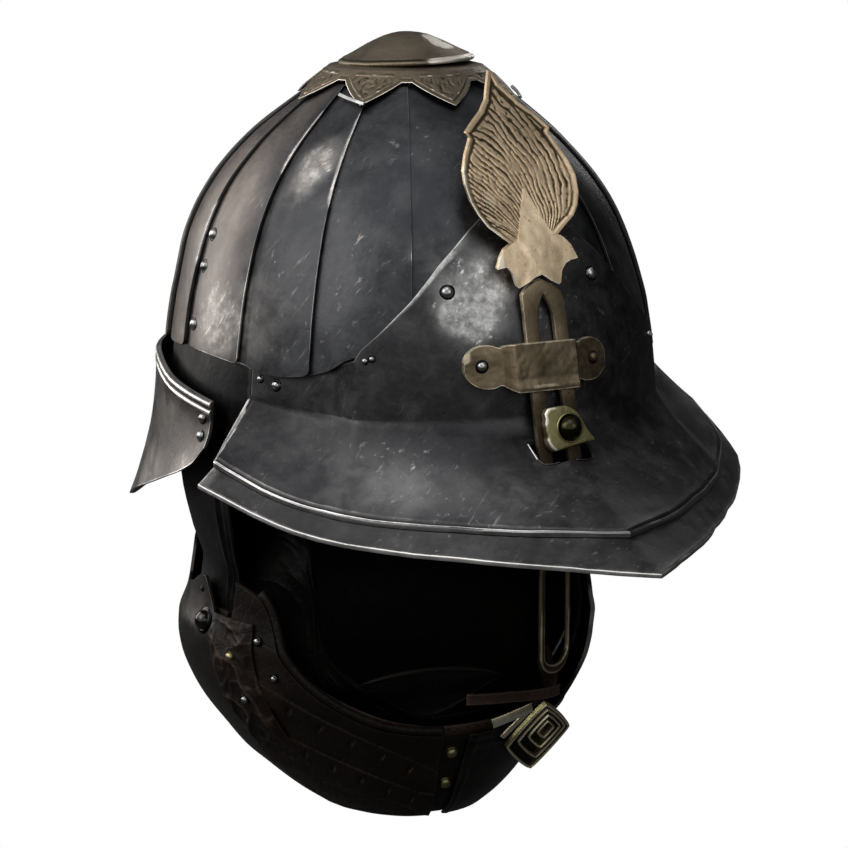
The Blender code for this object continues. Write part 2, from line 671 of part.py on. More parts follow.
# ---------------------------------------------------------------- cheek plates


def cheek(side, phi, z, off=0.0):
    return form(CHEEK, side * phi, z, off)


cheek_z = (-1, -10, -20, -30, -41, -52, -63, -72, -80, -88, -97, -105, -113, -121, -128, -133)
for side, tag in ((-1, "r"), (1, "l")):
    outer = [[cheek(side, mix(look(CHEEK_EDGE, z, 1), look(CHEEK_EDGE, z, 2), t), z) for t in steps(0, 1, 6)]
             for z in cheek_z]
    inner = [[cheek(side, mix(look(CHEEK_EDGE, z, 1), look(CHEEK_EDGE, z, 2), t), z, -SHEET)
              for t in steps(0, 1, 6)] for z in cheek_z]
    slab("cheek_plate_" + tag, outer, inner, "steel_dark")

# ---------------------------------------------------------------- collar


def collar(phi, z, off=0.0):
    return form(COLLAR, phi, z, off)


def back_top(phi):
    return look(BACK_TOP_LEFT, phi) if phi < 180 else look(BACK_TOP, 360 - phi)


low_rows = (0, 0.13, 0.27, 0.4, 0.54, 0.68, 0.84, 1.0)
shell("collar_back", lambda u, v, off: collar(u, mix(back_top(u), COLLAR_FOOT, v), off),
      [67, 69.5, 72, 77, 82, 87, 92.5, 96, 104, 112, 118, 124] + steps(129, 231, 12) + [236] + [246, 248, 256, 264, 267.5, 273, 278, 283], lambda u: low_rows, SHEET, "steel")
shell("collar_lining", lambda u, v, off: collar(u, mix(-93.0, -172.0, v), -SHEET - 1.9 + off),
      steps(70.0, 280.0, 22), lambda u: steps(0, 1, 5), 1.5, "leather_brown")


def throat_top(phi):
    return smooth(THROAT_RIM, phi)


shell("collar_front", lambda u, v, off: collar(u, mix(throat_top(u), COLLAR_FOOT, v), off),
      steps(-75.4, -9.4, 16), lambda u: steps(0, 1, 7), 2.0, "leather_brown")
shell("closure_strip", lambda u, v, off: collar(u, mix(throat_top(u) - 2, COLLAR_FOOT + 1, v), -2.6 + off),
      steps(-12.5, 3.5, 5), lambda u: steps(0, 1, 5), 1.6, "leather")
shell("closure_plate", lambda u, v, off: collar(u, mix(throat_top(u), COLLAR_FOOT, v), off),
      steps(-1.0, 36.0, 8)[:-1] + [36.0, 40.0, 44.0, 47.0, 50.0, 53.0, 56.0, 58.5, 61.0, 63.5, 66.4],
      lambda u: steps(0, 1, 6), 2.0, "steel_dark")

# rolled rim along the throat plate's upper edge
rim_pts = []
for ph in steps(-66, -9.6, 20):
    a, b = (collar(x, throat_top(x), -1.0) for x in (ph - 0.5, ph + 0.5))
    o = Vector((a.x, a.y - 15, 0)).normalized()
    up = o.cross((b - a).normalized())
    rim_pts.append((a + b) / 2 + up.normalized() * (2.3 if up.z > 0 else -2.3))
tube("collar_rim", frames(rim_pts, lambda i, p: Vector((p.x, p.y - 15, 0)).normalized()), ring(1.8, 8), "leather")

for i, z in enumerate((-150.0, -166.0)):
    n = normal_out(lambda a, b: collar(a, b))(-5.2, z)
    stud("closure_stud_%d" % (i + 1), collar(-5.2, z, -2.6), n, 3.0, 2.4, "brass")

n_out = normal_out(lambda a, b: collar(a, b))
for side, tag in ((-1, "r"), (1, "l")):
    stud("collar_stud_" + tag, collar(side * 87.5, -98.5, 0.5), n_out(side * 87.5, -98.5), 4.6, 3.2, "steel_bright")

# ---------------------------------------------------------------- leather inside and round the chin


def lining(phi, z, off=0.0):
    return form(COLLAR, phi, z, off - 11.0 - 6.5 * ease(-z, 117.0, 129.0))


shell("face_lining", lambda u, v, off: lining(u, mix(smooth(LINING_TOP, u), -150.0, v), off),
      steps(-86, 34, 20), lambda u: steps(0, 1, 6), 2.0, "leather")

# chin strap: from inside the right cheek plate under the chin to the left one
STRAP = ((-76, -92, -8.9), (-68, -101, -8.9), (-58, -112, -8.2), (-46, -124, -7.0), (-34, -133, -6.6),
         (-22, -139, -6.6), (-8, -142, -6.6), (8, -142, -6.6), (22, -140, -6.6), (36, -139.5, -6.6),
         (50, -137, -9.0), (62, -134.5, -12.6), (72, -131, -14.9))
strap_phi = steps(STRAP[0][0], STRAP[-1][0], 26)
fine = [form(COLLAR, a, smooth(STRAP, a, 1), smooth(STRAP, a, 2)) for a in strap_phi]
belt = [(-5.0, 0.75), (5.0, 0.75), (5.0, -0.75), (-5.0, -0.75)]
tube("chin_strap", frames(fine, lambda i, p: n_out(strap_phi[i], smooth(STRAP, strap_phi[i], 1))), belt,
     "leather_brown")

# chin cup: a pointed oval dish standing inside the lining
cup_o, cup_i = [], []
for i in range(13):
    t = i / 12
    ph = mix(-36.0, 14.0, t)
    h = 13.0 * math.sin(math.pi * t) ** 0.8 + 0.6
    mid = -121.0 - 4.0 * math.sin(math.pi * t)
    co, ci = [], []
    for s in (-1, -0.5, 0, 0.5, 1):
        z = mid + h * s
        d = -16.5 - 2.6 * (1 - s * s) * math.sin(math.pi * t) + 1.2 * s - 6.5 * ease(-z, 117.0, 129.0)
        co.append(form(COLLAR, ph, z, d))
        ci.append(form(COLLAR, ph, z, d - 2.0))
    cup_o.append(co)
    cup_i.append(ci)
slab("chin_cup", cup_o, cup_i, "leather")

# brace: a U of brass-edged steel from under the peak to the strap, wearer's left
BRACE_SIDES = (61.0, 41.0)     # angles of its two limbs
BRACE_R = (77.0, 69.5)         # their distances from the axis below the brow
brace = [(BRACE_SIDES[0], z) for z in (4, -8, -20, -34, -48, -62, -76, -90, -102, -112, -120)]
mid, wide = sum(BRACE_SIDES) / 2, (BRACE_SIDES[0] - BRACE_SIDES[1]) / 2
brace += [(mid + wide * math.cos(math.radians(a)), -120 - 7.5 * math.sin(math.radians(a)))
          for a in (22, 45, 68, 90, 112, 135, 158)]
brace += [(BRACE_SIDES[1], z) for a, z in reversed(brace[:11])]


def brace_pt(phi, z):
    low = polar(phi, mix(BRACE_R[1], BRACE_R[0], (phi - BRACE_SIDES[1]) / (BRACE_SIDES[0] - BRACE_SIDES[1])), z, 12.0)
    return low.lerp(skull(phi, z, -8.3), ease(z, -84.0, 0.0))


pts = [brace_pt(a, z) for a, z in brace]
tube("brace_l", frames(pts, lambda i, p: Vector((p.x, p.y - 14, 0)).normalized()), ring(2.2, 8, 0.8), "brass")

# side clasp: folded leather and brass over the joint between back and front of the collar
def clasp_pt(phi, v, off):
    z = mix(-93.0, -150.0, v)
    fold = 1.1 * math.sin(v * 19.0 + phi * 0.35)
    return collar(phi + 9.0 * v, z, 3.4 + fold + off)


outer = [[clasp_pt(u, v, 0.0) for v in steps(0, 1, 12)] for u in steps(-82.0, -69.0, 4)]
inner = [[collar(u + 9.0 * v, mix(-93.0, -150.0, v), GAP + 0.1) for v in steps(0, 1, 12)]
         for u in steps(-82.0, -69.0, 4)]
slab("clasp_side", outer, inner, "leather_brown")

# rosette: nested diamonds, hung from the strap at the left of the throat
at = Vector((32.0, -59.6, -146.2))
rosette_out = []
pl = [(17.3, 0.0), (0.0, 21.6), (-17.3, 0.0), (0.0, -21.6)]
rv = []
levels = ((1.0, 0.0), (1.0, 2.4), (0.8, 3.4), (0.62, 2.2), (0.46, 3.8), (0.28, 2.6), (0.16, 4.4))
for k, h in levels:
    for x, z in pl:
        rv.append(Vector((x * k, -h, z * k)))
rf = [[0, 1, 2, 3]]
for k in range(len(levels) - 1):
    for i in range(4):
        rf.append([4 * k + i, 4 * k + (i + 1) % 4, 4 * k + 4 + (i + 1) % 4, 4 * k + 4 + i])
e = 4 * (len(levels) - 1)
rf.append([e + 3, e + 2, e + 1, e])
ros = build("clasp_rosette", rv, rf, "brass", origin=(0, 0, 0))
ros.location = at * MM
ros.rotation_euler = (math.radians(28.5), math.radians(-7.8), math.radians(3.4))

# ---------------------------------------------------------------- rivets of brow, ear and skull

for tag, phi, z, r in (("brow", 18.6, 57.2, 3.0), ("temple", 57.6, 15.9, 2.4), ("ear", 62.6, 17.4, 1.8)):
    for side, s in ((-1, "r"), (1, "l")):
        if tag == "brow" and side > 0:
            phi, z = 15.2, 60.3
        off = plate_off(phi)
        n = normal_out(lambda a, b: skull(a, b))(side * phi, z)
        stud("rivet_%s_%s" % (tag, s), skull(side * phi, z, off), n, r, 1.9, "steel_bright")
for k, z in enumerate((70.0, 57.0, 33.0)):
    for side, s in ((-1, "r"), (1, "l")):
        n = normal_out(lambda a, b: skull(a, b))(side * 91.5, z)
        stud("rivet_lame%d_%s" % (k + 1, s), skull(side * 91.3, z, -2.1), n, 2.6, 1.7, "steel_bright")
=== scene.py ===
# Looks of the visored helmet: blackened and worn steel lames, brow plate and flared peak, aged brass nasal
# and crown, dark leather and steel round the throat. Tables are millimetres; meshes are made in metres.
import math
import bmesh
import bpy
from mathutils import Matrix, Vector, noise


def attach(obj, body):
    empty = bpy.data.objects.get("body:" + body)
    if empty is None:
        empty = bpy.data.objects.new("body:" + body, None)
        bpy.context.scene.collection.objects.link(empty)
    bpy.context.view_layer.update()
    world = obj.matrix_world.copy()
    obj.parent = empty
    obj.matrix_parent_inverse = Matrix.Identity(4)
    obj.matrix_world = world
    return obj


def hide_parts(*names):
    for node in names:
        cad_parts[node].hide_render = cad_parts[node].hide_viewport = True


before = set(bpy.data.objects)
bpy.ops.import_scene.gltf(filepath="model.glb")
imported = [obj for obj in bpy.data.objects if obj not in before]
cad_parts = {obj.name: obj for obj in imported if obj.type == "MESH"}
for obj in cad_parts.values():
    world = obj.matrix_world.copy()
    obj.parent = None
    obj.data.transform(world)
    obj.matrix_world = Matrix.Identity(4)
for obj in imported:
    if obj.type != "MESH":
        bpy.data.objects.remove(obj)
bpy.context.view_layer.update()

MM = 0.001
SKY = 0.75            # brightest part of the soft surround
GAP = 0.3
SHEET = 1.4
LAME_STEP = 1.85
NASAL_LEAN = 0.243
NASAL_FRONT_Y = -125.5
NASAL_REF_Z = 29.0
EDGES = (25.7, 48.0, 69.2, 95.3, 113.5, 131.5, 149.5, 166.5)
CROWN_TURN = -4.0

SKULL = ((-60, 103.6), (0, 103.0), (20, 101.6), (40, 98.8), (60, 94.0), (76, 88.4), (91, 80.2),
         (106, 67.8), (120, 52.2), (132, 37.2), (142, 24.6), (150, 12.5), (155, 4.5))
LAME_FOOT = ((0, 36.0), (30, 34.5), (39, 29.8), (44, 24.2), (49, 21.8), (56, 20.3), (62, 20.3),
             (67, 22.0), (84, 23.5), (120, 21.5), (180, 21.5))
BROW_TOP = ((0, 93.0), (7, 87.0), (13.3, 79.0), (19.6, 68.1), (25.8, 54.0), (31.9, 42.0), (36, 34.6),
            (37.5, 30.0), (40, 28.0), (42, 25.8), (43.5, 26.0), (49, 25.6), (60, 24.4), (66, 25.5))
PEAK = ((0, 208.7, -36.2, 0.735), (5, 195.7, -35.8, 0.75), (10, 185.8, -35.2, 0.77),
        (20, 167.5, -35.2, 0.782), (30, 155.9, -34.8, 0.798), (40, 149.7, -32.6, 0.80),
        (50, 146.5, -26.5, 0.81), (56, 145.6, -21.5, 0.79), (61, 146.0, -17.2, 0.77))
PEAK_LEFT = PEAK[:6] + ((50, 145.3, -26.5, 0.81), (56, 138.2, -20.6, 0.79), (61, 130.0, -13.2, 0.77))
NECK_GUARD = ((76, 5.5, -13.5, 4.2), (81, 6.5, -22.0, 4.8), (97, 9.5, -34.0, 6.0),
              (117, 15.0, -47.0, 10.5), (138, 15.5, -59.0, 16.5), (158, 15.5, -54.0, 16.0),
              (180, 15.5, -52.0, 16.0))
COLLAR = ((-60, 12, 83.0, 87.0), (-74, 12, 88.3, 92.0), (-88, 15, 88.5, 92.0), (-97, 17, 90.0, 93.5),
          (-105, 18.9, 92.3, 94.9), (-113, 20.3, 92.1, 94.7), (-121, 20.6, 90.8, 93.7),
          (-131, 21.0, 87.0, 90.2), (-142, 21.4, 80.7, 84.4), (-152, 20.3, 73.5, 77.8),
          (-162, 18.2, 66.2, 71.1), (-168, 15.6, 59.8, 65.2), (-175, 12.6, 52.2, 58.0),
          (-180, 10.8, 46.0, 52.5), (-186, 9.4, 37.5, 45.0))
COLLAR_FOOT = -185.0
BACK_TOP = ((67, -119.0), (72, -110.0), (82, -97.0), (92.5, -80.0), (96, -80.5), (104, -87.0), (112, -90.0),
            (117, -88.0), (121, -76.0), (126, -69.0), (134, -68.0), (180, -68.0))
BACK_TOP_LEFT = ((67, -87.0), (72, -84.0), (82, -81.0)) + BACK_TOP[3:]
CHEEK = ((-1, 0, 96.1, 114.8), (-20, 1, 95.6, 111.6), (-41, 5, 94.0, 106.0), (-63, 8, 89.0, 97.0),
         (-80, 12, 83.6, 87.0), (-97, 17, 84.0, 87.5), (-113, 20, 85.6, 87.5), (-121, 20, 82.6, 84.6),
         (-131, 20, 75.8, 78.6), (-142, 18, 68.4, 72.0))
CHEEK_EDGE = ((-1, 77, 122), (-50, 77, 122), (-88, 79, 115), (-115, 74, 100), (-133, 68, 88))
THROAT_RIM = ((-75.5, -77.0), (-65, -82.0), (-55, -106.0), (-46, -120.0), (-35, -131.0), (-25, -137.0),
              (-15, -139.5), (0, -141.0), (36, -140.0), (44, -138.0), (50, -131.0), (56, -112.0), (61, -94.0),
              (66.5, -87.5))
LINING_TOP = ((-86, -58.0), (-68, -50.0), (-56, -58.0), (-51, -76.0), (-48, -94.0), (-43, -107.0), (-28, -124.0),
              (-10, -136.0), (34, -136.0))
LEAF_LINE = ((56.0, -118.94), (70, -114.4), (91, -104.2), (110, -92.2), (127, -78.2), (141, -65.5))
LEAF_LEFT = ((139.0, 2.7), (132.1, -1.6), (128.4, -3.8), (124.2, -8.0), (120.0, -13.9), (116.8, -18.0),
             (114.6, -17.2), (109.0, -21.3), (102.9, -24.5), (97.8, -25.2), (91.6, -24.6), (86.6, -22.6),
             (82.0, -19.6), (77.6, -14.2), (74.6, -10.2))
LEAF_RIGHT = ((139.0, 4.1), (134.0, 5.3), (126.7, 11.3), (122.4, 16.3), (117.4, 20.4), (115.6, 19.1),
              (111.4, 20.9), (104.9, 23.9), (99.2, 25.2), (92.9, 24.4), (88.1, 22.4), (84.5, 19.6),
              (80.7, 14.2), (76.6, 8.9), (74.6, 7.6))
STAR_TOP = ((-19.1, 66.9), (-17.2, 70.6), (-14.8, 73.6), (-11.4, 75.4), (-8.4, 76.6), (-6.6, 79.5), (-4.6, 85.0),
            (-2.6, 89.5), (-0.4, 94.5), (0.6, 96.0), (1.8, 93.0), (4.4, 86.5), (7.0, 80.6), (9.2, 78.0), (12.4, 77.0),
            (15.2, 74.0), (17.2, 68.9))
STAR_LOW = ((-19.1, 66.5), (-15.0, 67.2), (-12.7, 64.6), (-11.7, 59.6), (-11.0, 58.9), (-7.2, 60.6), (-3.3, 62.7),
            (-0.2, 63.6), (3.5, 61.0), (6.9, 59.3), (8.1, 60.2), (9.0, 64.4), (11.5, 67.2), (14.0, 68.2),
            (17.2, 68.7))
CAP = ((28.4, 138.4), (28.9, 138.8), (28.9, 139.5), (28.5, 140.0), (28.0, 140.25), (27.5, 140.3), (27.1, 140.9),
       (26.4, 141.3), (25.4, 141.7), (22.6, 143.1), (19.6, 144.7), (16.5, 146.3), (13.2, 147.8), (9.6, 149.35),
       (6.2, 150.25), (3.2, 150.75), (1.0, 150.85))
STRAP = ((-76, -92, -8.9), (-68, -101, -8.9), (-58, -112, -8.2), (-46, -124, -7.0), (-34, -133, -6.6),
         (-22, -139, -6.6), (-8, -142, -6.6), (8, -142, -6.6), (22, -140, -6.6), (36, -139.5, -6.6),
         (50, -137, -9.0), (62, -134.5, -12.6), (72, -131, -14.9))
# brighter patches of the steel, some rubbed wear and some painted highlight: angle, height, radius, strength
WORN_AND_GLINT = ((-56.5, 106, 8.5, 0.95), (-58, 99, 7.5, 0.7), (-60, 92, 6, 0.45), (-13, 57, 15, 1.0), (-15, 45, 10, 0.7), (-8, 62, 8, 0.5),
        (-76, 42, 20, 0.62), (-79, 34, 13, 0.5), (-94, 60, 20, 0.30), (-60, 40, 16, 0.36), (-88, 84, 12, 0.12),
        (-26, 72, 7, 0.15), (-22, 78, 6, 0.2), (30, 55, 12, 0.25), (62, 45, 16, 0.35), (95, 60, 22, 0.35),
        (140, 70, 22, 0.4), (180, 50, 22, 0.35), (-130, 60, 24, 0.5), (40, 95, 12, 0.4))
# the same worn and painted-highlight patches on the flared pieces, as points
WORN_AND_GLINT_POINTS = ((-112, -8, -30, 9, 0.9), (-102, -20, -22, 10, 0.5), (-112, 30, -36, 14, 0.7), (-70, -118, -12, 16, 0.45),
               (-30, -150, -16, 15, 0.4), (25, -165, -18, 14, 0.25), (110, 40, -34, 18, 0.5),
               (0, 138, -40, 26, 0.5), (-50, -125, -20, 12, 0.35), (70, -120, -14, 14, 0.2))


# ---------------------------------------------------------------- numbers

def look(table, x, col=1):
    rows = table if table[0][0] < table[-1][0] else tuple(reversed(table))
    if x <= rows[0][0]:
        return rows[0][col]
    for a, b in zip(rows, rows[1:]):
        if x <= b[0]:
            t = (x - a[0]) / (b[0] - a[0])
            return a[col] + (b[col] - a[col]) * t
    return rows[-1][col]


def smooth(table, x, col=1):
    rows = table if table[0][0] < table[-1][0] else tuple(reversed(table))
    if x <= rows[0][0]:
        return rows[0][col]
    if x >= rows[-1][0]:
        return rows[-1][col]
    n = len(rows)
    k = max(i for i in range(n - 1) if rows[i][0] <= x)

    def slope(i):
        return (rows[i + 1][col] - rows[i][col]) / (rows[i + 1][0] - rows[i][0])

    def tangent(i):
        if i == 0:
            return slope(0)
        if i == n - 1:
            return slope(n - 2)
        a, b = slope(i - 1), slope(i)
        return 0.0 if a * b <= 0 else 2 * a * b / (a + b)

    h = rows[k + 1][0] - rows[k][0]
    t = (x - rows[k][0]) / h
    m0, m1 = tangent(k) * h, tangent(k + 1) * h
    p0, p1 = rows[k][col], rows[k + 1][col]
    return ((2 * t ** 3 - 3 * t ** 2 + 1) * p0 + (t ** 3 - 2 * t ** 2 + t) * m0
            + (-2 * t ** 3 + 3 * t ** 2) * p1 + (t ** 3 - t ** 2) * m1)


def ease(x, a, b):
    t = min(1.0, max(0.0, (x - a) / (b - a)))
    return t * t * (3 - 2 * t)


def mix(a, b, t):
    return a + (b - a) * t


def bell(x, centre, width):
    return math.exp(-((x - centre) / width) ** 2)


def polar(phi, r, z, cy=0.0):
    p = math.radians(phi)
    return Vector((r * math.sin(p), cy - r * math.cos(p), z))


def ellipse_r(phi, a, b):
    p = math.radians(phi)
    return 1.0 / math.sqrt((math.sin(p) / a) ** 2 + (math.cos(p) / b) ** 2)


def stretch(z):
    return 1.0 + 0.19 * min(1.0, max(0.0, (150.0 - max(z, 0.0)) / 110.0)) ** 0.7


def skull_r(phi, z, off=0.0):
    a = smooth(SKULL, z)
    return ellipse_r(phi, a, a * stretch(z)) + off


def skull(phi, z, off=0.0):
    return polar(phi, skull_r(phi, z, off), z)


def form(table, phi, z, off=0.0):
    cy = smooth(table, z, 1)
    return polar(phi, ellipse_r(phi, smooth(table, z, 2), smooth(table, z, 3)) + off, z, cy)


def collar(phi, z, off=0.0):
    return form(COLLAR, phi, z, off)


def steps(a, b, n):
    return [a + (b - a) * i / n for i in range(n + 1)]


def span(n, near=(0.004, 0.012, 0.028)):
    """Fractions from 0 to 1, closer together near both ends."""
    inner = [near[-1] + (1 - 2 * near[-1]) * i / n for i in range(n + 1)]
    return [0.0] + list(near[:-1]) + inner + [1 - a for a in reversed(near[:-1])] + [1.0]


def dent(p, amount=0.22):
    """Hand-beaten unevenness, the same for every sheet at one place."""
    q = Vector(p)
    return amount * (noise.noise(q * 0.045) + 0.5 * noise.noise(q * 0.11 + Vector((7, 3, 1))))


def foot(phi):
    return smooth(LAME_FOOT, min(180.0, abs(phi)))


WORN_AND_GLINT_3D = [(skull(a, z), r, k) for a, z, r, k in WORN_AND_GLINT] + [(Vector((x, y, z)), r, k) for x, y, z, r, k in WORN_AND_GLINT_POINTS]


# strength of those patches at a point: rubbed wear and painted highlight
def wear_and_glint_at(p):
    s = 0.0
    for c, r, k in WORN_AND_GLINT_3D:
        d = (Vector(p) - c).length / r
        if d < 1.6:
            s += k * max(0.0, 1 - (d / 1.6) ** 2)
    return min(1.0, s)


# ---------------------------------------------------------------- materials

class Graph:
    def __init__(self, name):
        self.mat = bpy.data.materials.new(name)
        self.mat.use_nodes = True
        self.t = self.mat.node_tree
        self.t.nodes.clear()
        self.out = self.t.nodes.new("ShaderNodeOutputMaterial")
        self.bsdf = self.t.nodes.new("ShaderNodeBsdfPrincipled")
        self.t.links.new(self.bsdf.outputs[0], self.out.inputs[0])
        self.coord = self.t.nodes.new("ShaderNodeTexCoord").outputs["Object"]

    def put(self, socket, value):
        if isinstance(value, bpy.types.NodeSocket):
            self.t.links.new(value, socket)
        elif hasattr(value, "__len__") and len(value) == 3 and len(socket.default_value) == 4:
            socket.default_value = (*value, 1.0)
        else:
            socket.default_value = value

    def coords(self, scale, rot=(0, 0, 0)):
        n = self.t.nodes.new("ShaderNodeMapping")
        n.vector_type = "TEXTURE"
        self.put(n.inputs["Vector"], self.coord)
        n.inputs["Rotation"].default_value = rot
        n.inputs["Scale"].default_value = tuple(1.0 / s for s in scale)
        return n.outputs[0]

    def noise(self, scale, detail=4.0, rough=0.55, warp=0.0, coords=None):
        n = self.t.nodes.new("ShaderNodeTexNoise")
        self.put(n.inputs["Vector"], coords or self.coord)
        n.inputs["Scale"].default_value = scale
        n.inputs["Detail"].default_value = detail
        n.inputs["Roughness"].default_value = rough
        n.inputs["Distortion"].default_value = warp
        return n.outputs[0]

    def cells(self, scale, feature="F1", coords=None):
        n = self.t.nodes.new("ShaderNodeTexVoronoi")
        n.feature = feature
        self.put(n.inputs["Vector"], coords or self.coord)
        n.inputs["Scale"].default_value = scale
        return n.outputs["Distance"]

    def remap(self, x, a, b, c=0.0, d=1.0, soft=True):
        n = self.t.nodes.new("ShaderNodeMapRange")
        n.interpolation_type = "SMOOTHSTEP" if soft else "LINEAR"
        self.put(n.inputs["Value"], x)
        for key, v in zip(("From Min", "From Max", "To Min", "To Max"), (a, b, c, d)):
            n.inputs[key].default_value = v
        return n.outputs[0]

    def calc(self, op, a, b=0.0, clamp=False):
        n = self.t.nodes.new("ShaderNodeMath")
        n.operation = op
        n.use_clamp = clamp
        self.put(n.inputs[0], a)
        self.put(n.inputs[1], b)
        return n.outputs[0]

    def attr(self, name):
        n = self.t.nodes.new("ShaderNodeAttribute")
        n.attribute_name = name
        return n.outputs["Fac"]

    def mix(self, fac, a, b, kind="MIX"):
        n = self.t.nodes.new("ShaderNodeMix")
        n.data_type = "RGBA"
        n.blend_type = kind
        self.put(n.inputs["Factor"], fac)
        self.put(n.inputs[6], a)
        self.put(n.inputs[7], b)
        return n.outputs[2]

    def bump(self, height, strength, distance, normal=None):
        n = self.t.nodes.new("ShaderNodeBump")
        n.inputs["Strength"].default_value = strength
        n.inputs["Distance"].default_value = distance
        self.put(n.inputs["Height"], height)
        if normal is not None:
            self.put(n.inputs["Normal"], normal)
        return n.outputs[0]

    def shade(self, color, rough, metal, normal=None, spec=None):
        self.put(self.bsdf.inputs["Base Color"], color)
        self.put(self.bsdf.inputs["Roughness"], rough)
        self.put(self.bsdf.inputs["Metallic"], metal)
        if normal is not None:
            self.put(self.bsdf.inputs["Normal"], normal)
        if spec is not None:
            self.bsdf.inputs["Specular IOR Level"].default_value = spec
        return self.mat


def steel(name, dark, light, worn_and_lit, edge, rough=(0.30, 0.50), scratches=1.0, lit_warm=None, rim=0.16):
    g = Graph(name)
    big = g.noise(20, 5, 0.6, 0.4)
    mid = g.noise(85, 7, 0.64, 0.3)
    fine = g.noise(520, 5, 0.65)
    patch = g.remap(g.calc("ADD", g.calc("MULTIPLY", mid, 0.6), g.calc("MULTIPLY", big, 0.4)), 0.40, 0.64)
    color = g.mix(patch, dark, light)
    # strips at the sides are painted lighter and warmer, as light falling on them
    if lit_warm is not None:
        color = g.mix(g.calc("MULTIPLY", g.attr("lit_side"), g.remap(big, 0.30, 0.62, 0.25, 0.95)), color, lit_warm)
    a = g.remap(g.noise(1.0, 4, 0.6, 0.0, g.coords((420, 420, 26), (0.55, 0.35, 0.2))), 0.60, 0.74)
    b = g.remap(g.noise(1.0, 4, 0.6, 0.0, g.coords((24, 380, 380), (0.1, -0.5, 0.5))), 0.62, 0.76)
    lines = g.calc("MAXIMUM", a, b)
    where = g.remap(big, 0.44, 0.66)
    faint = g.calc("MULTIPLY", g.calc("MULTIPLY", lines, where), 0.34 * scratches)
    color = g.mix(faint, color, worn_and_lit)
    # the wear attribute lightens the steel, partly as rubbed wear and partly as painted highlight
    wear = g.attr("wear")
    speck = g.calc("ADD", g.calc("MULTIPLY", g.noise(210, 6, 0.7), 0.62), g.calc("MULTIPLY", a, 0.30))
    rubbed_and_lit = g.remap(g.calc("MULTIPLY", wear, speck), 0.20, 0.50)
    haze = g.remap(g.calc("MULTIPLY", wear, g.remap(mid, 0.3, 0.7, 0.5, 1.0)), 0.05, 0.9, 0.0, 0.55)
    color = g.mix(haze, color, tuple(mix(p, q, 0.45) for p, q in zip(light, worn_and_lit)))
    color = g.mix(rubbed_and_lit, color, worn_and_lit)
    # the edge attribute lightens the sheets' borders, partly as worn edges and partly as painted highlight lines
    edge_mask = g.remap(g.calc("ADD", g.attr("edge"), g.calc("MULTIPLY", g.calc("SUBTRACT", mid, 0.5), 0.9)), 0.42, 0.74)
    edge_color = g.mix(g.remap(g.calc("ADD", wear, g.calc("MULTIPLY", g.calc("SUBTRACT", big, 0.5), 0.8)), 0.1, 0.6),
                       tuple(mix(p, q, rim) for p, q in zip(light, edge)), edge)
    color = g.mix(edge_mask, color, edge_color)
    # the groove attribute darkens toward near black, in grooves and as painted shade
    groove_and_shade = g.attr("groove_and_shade")
    color = g.mix(groove_and_shade, color, (0.006, 0.006, 0.007))
    r = g.remap(mid, 0.30, 0.70, rough[0], rough[1])
    r = g.calc("ADD", r, g.calc("MULTIPLY", g.calc("SUBTRACT", fine, 0.5), 0.16))
    r = g.calc("SUBTRACT", r, g.calc("MULTIPLY", edge_mask, 0.06), True)
    n = g.bump(big, 0.22, 0.0030)
    n = g.bump(mid, 0.20, 0.0009, n)
    n = g.bump(fine, 0.16, 0.00022, n)
    n = g.bump(g.calc("SUBTRACT", 1.0, lines), 0.18 * scratches, 0.00020, n)
    return g.shade(color, r, 1.0, n)


def brass(name, base, dark, bright, rough=(0.32, 0.52), pits=1.0):
    g = Graph(name)
    big = g.noise(34, 5, 0.6, 0.5)
    mid = g.noise(160, 6, 0.66, 0.2)
    fine = g.noise(900, 4, 0.6)
    color = g.mix(g.remap(big, 0.36, 0.62), dark, base)
    color = g.mix(g.remap(mid, 0.48, 0.72, 0.0, 0.55), color, tuple(0.62 * c for c in base))
    color = g.mix(g.remap(g.noise(420, 5, 0.7), 0.60, 0.74, 0.0, 0.6 * pits), color, (0.030, 0.024, 0.014))
    # the wear attribute brightens the brass, partly as rubbed brass and partly as painted highlight
    wear = g.remap(g.calc("MULTIPLY", g.attr("wear"), g.calc("ADD", mid, 0.35)), 0.25, 0.70)
    color = g.mix(wear, color, bright)
    edge_mask = g.remap(g.calc("ADD", g.attr("edge"), g.calc("MULTIPLY", g.calc("SUBTRACT", mid, 0.5), 1.0)), 0.42, 0.80)
    color = g.mix(edge_mask, color, bright)
    # the groove attribute darkens engraving and, in other places, paints shade
    groove_and_shade = g.remap(g.attr("groove_and_shade"), 0.15, 0.95, 0.0, 0.93)
    color = g.mix(groove_and_shade, color, (0.018, 0.014, 0.008))
    r = g.calc("ADD", g.remap(mid, 0.3, 0.7, rough[0], rough[1]), g.calc("MULTIPLY", groove_and_shade, 0.2))
    n = g.bump(big, 0.2, 0.0014)
    n = g.bump(mid, 0.32, 0.0006, n)
    n = g.bump(fine, 0.2, 0.0002, n)
    return g.shade(color, r, 1.0, n)


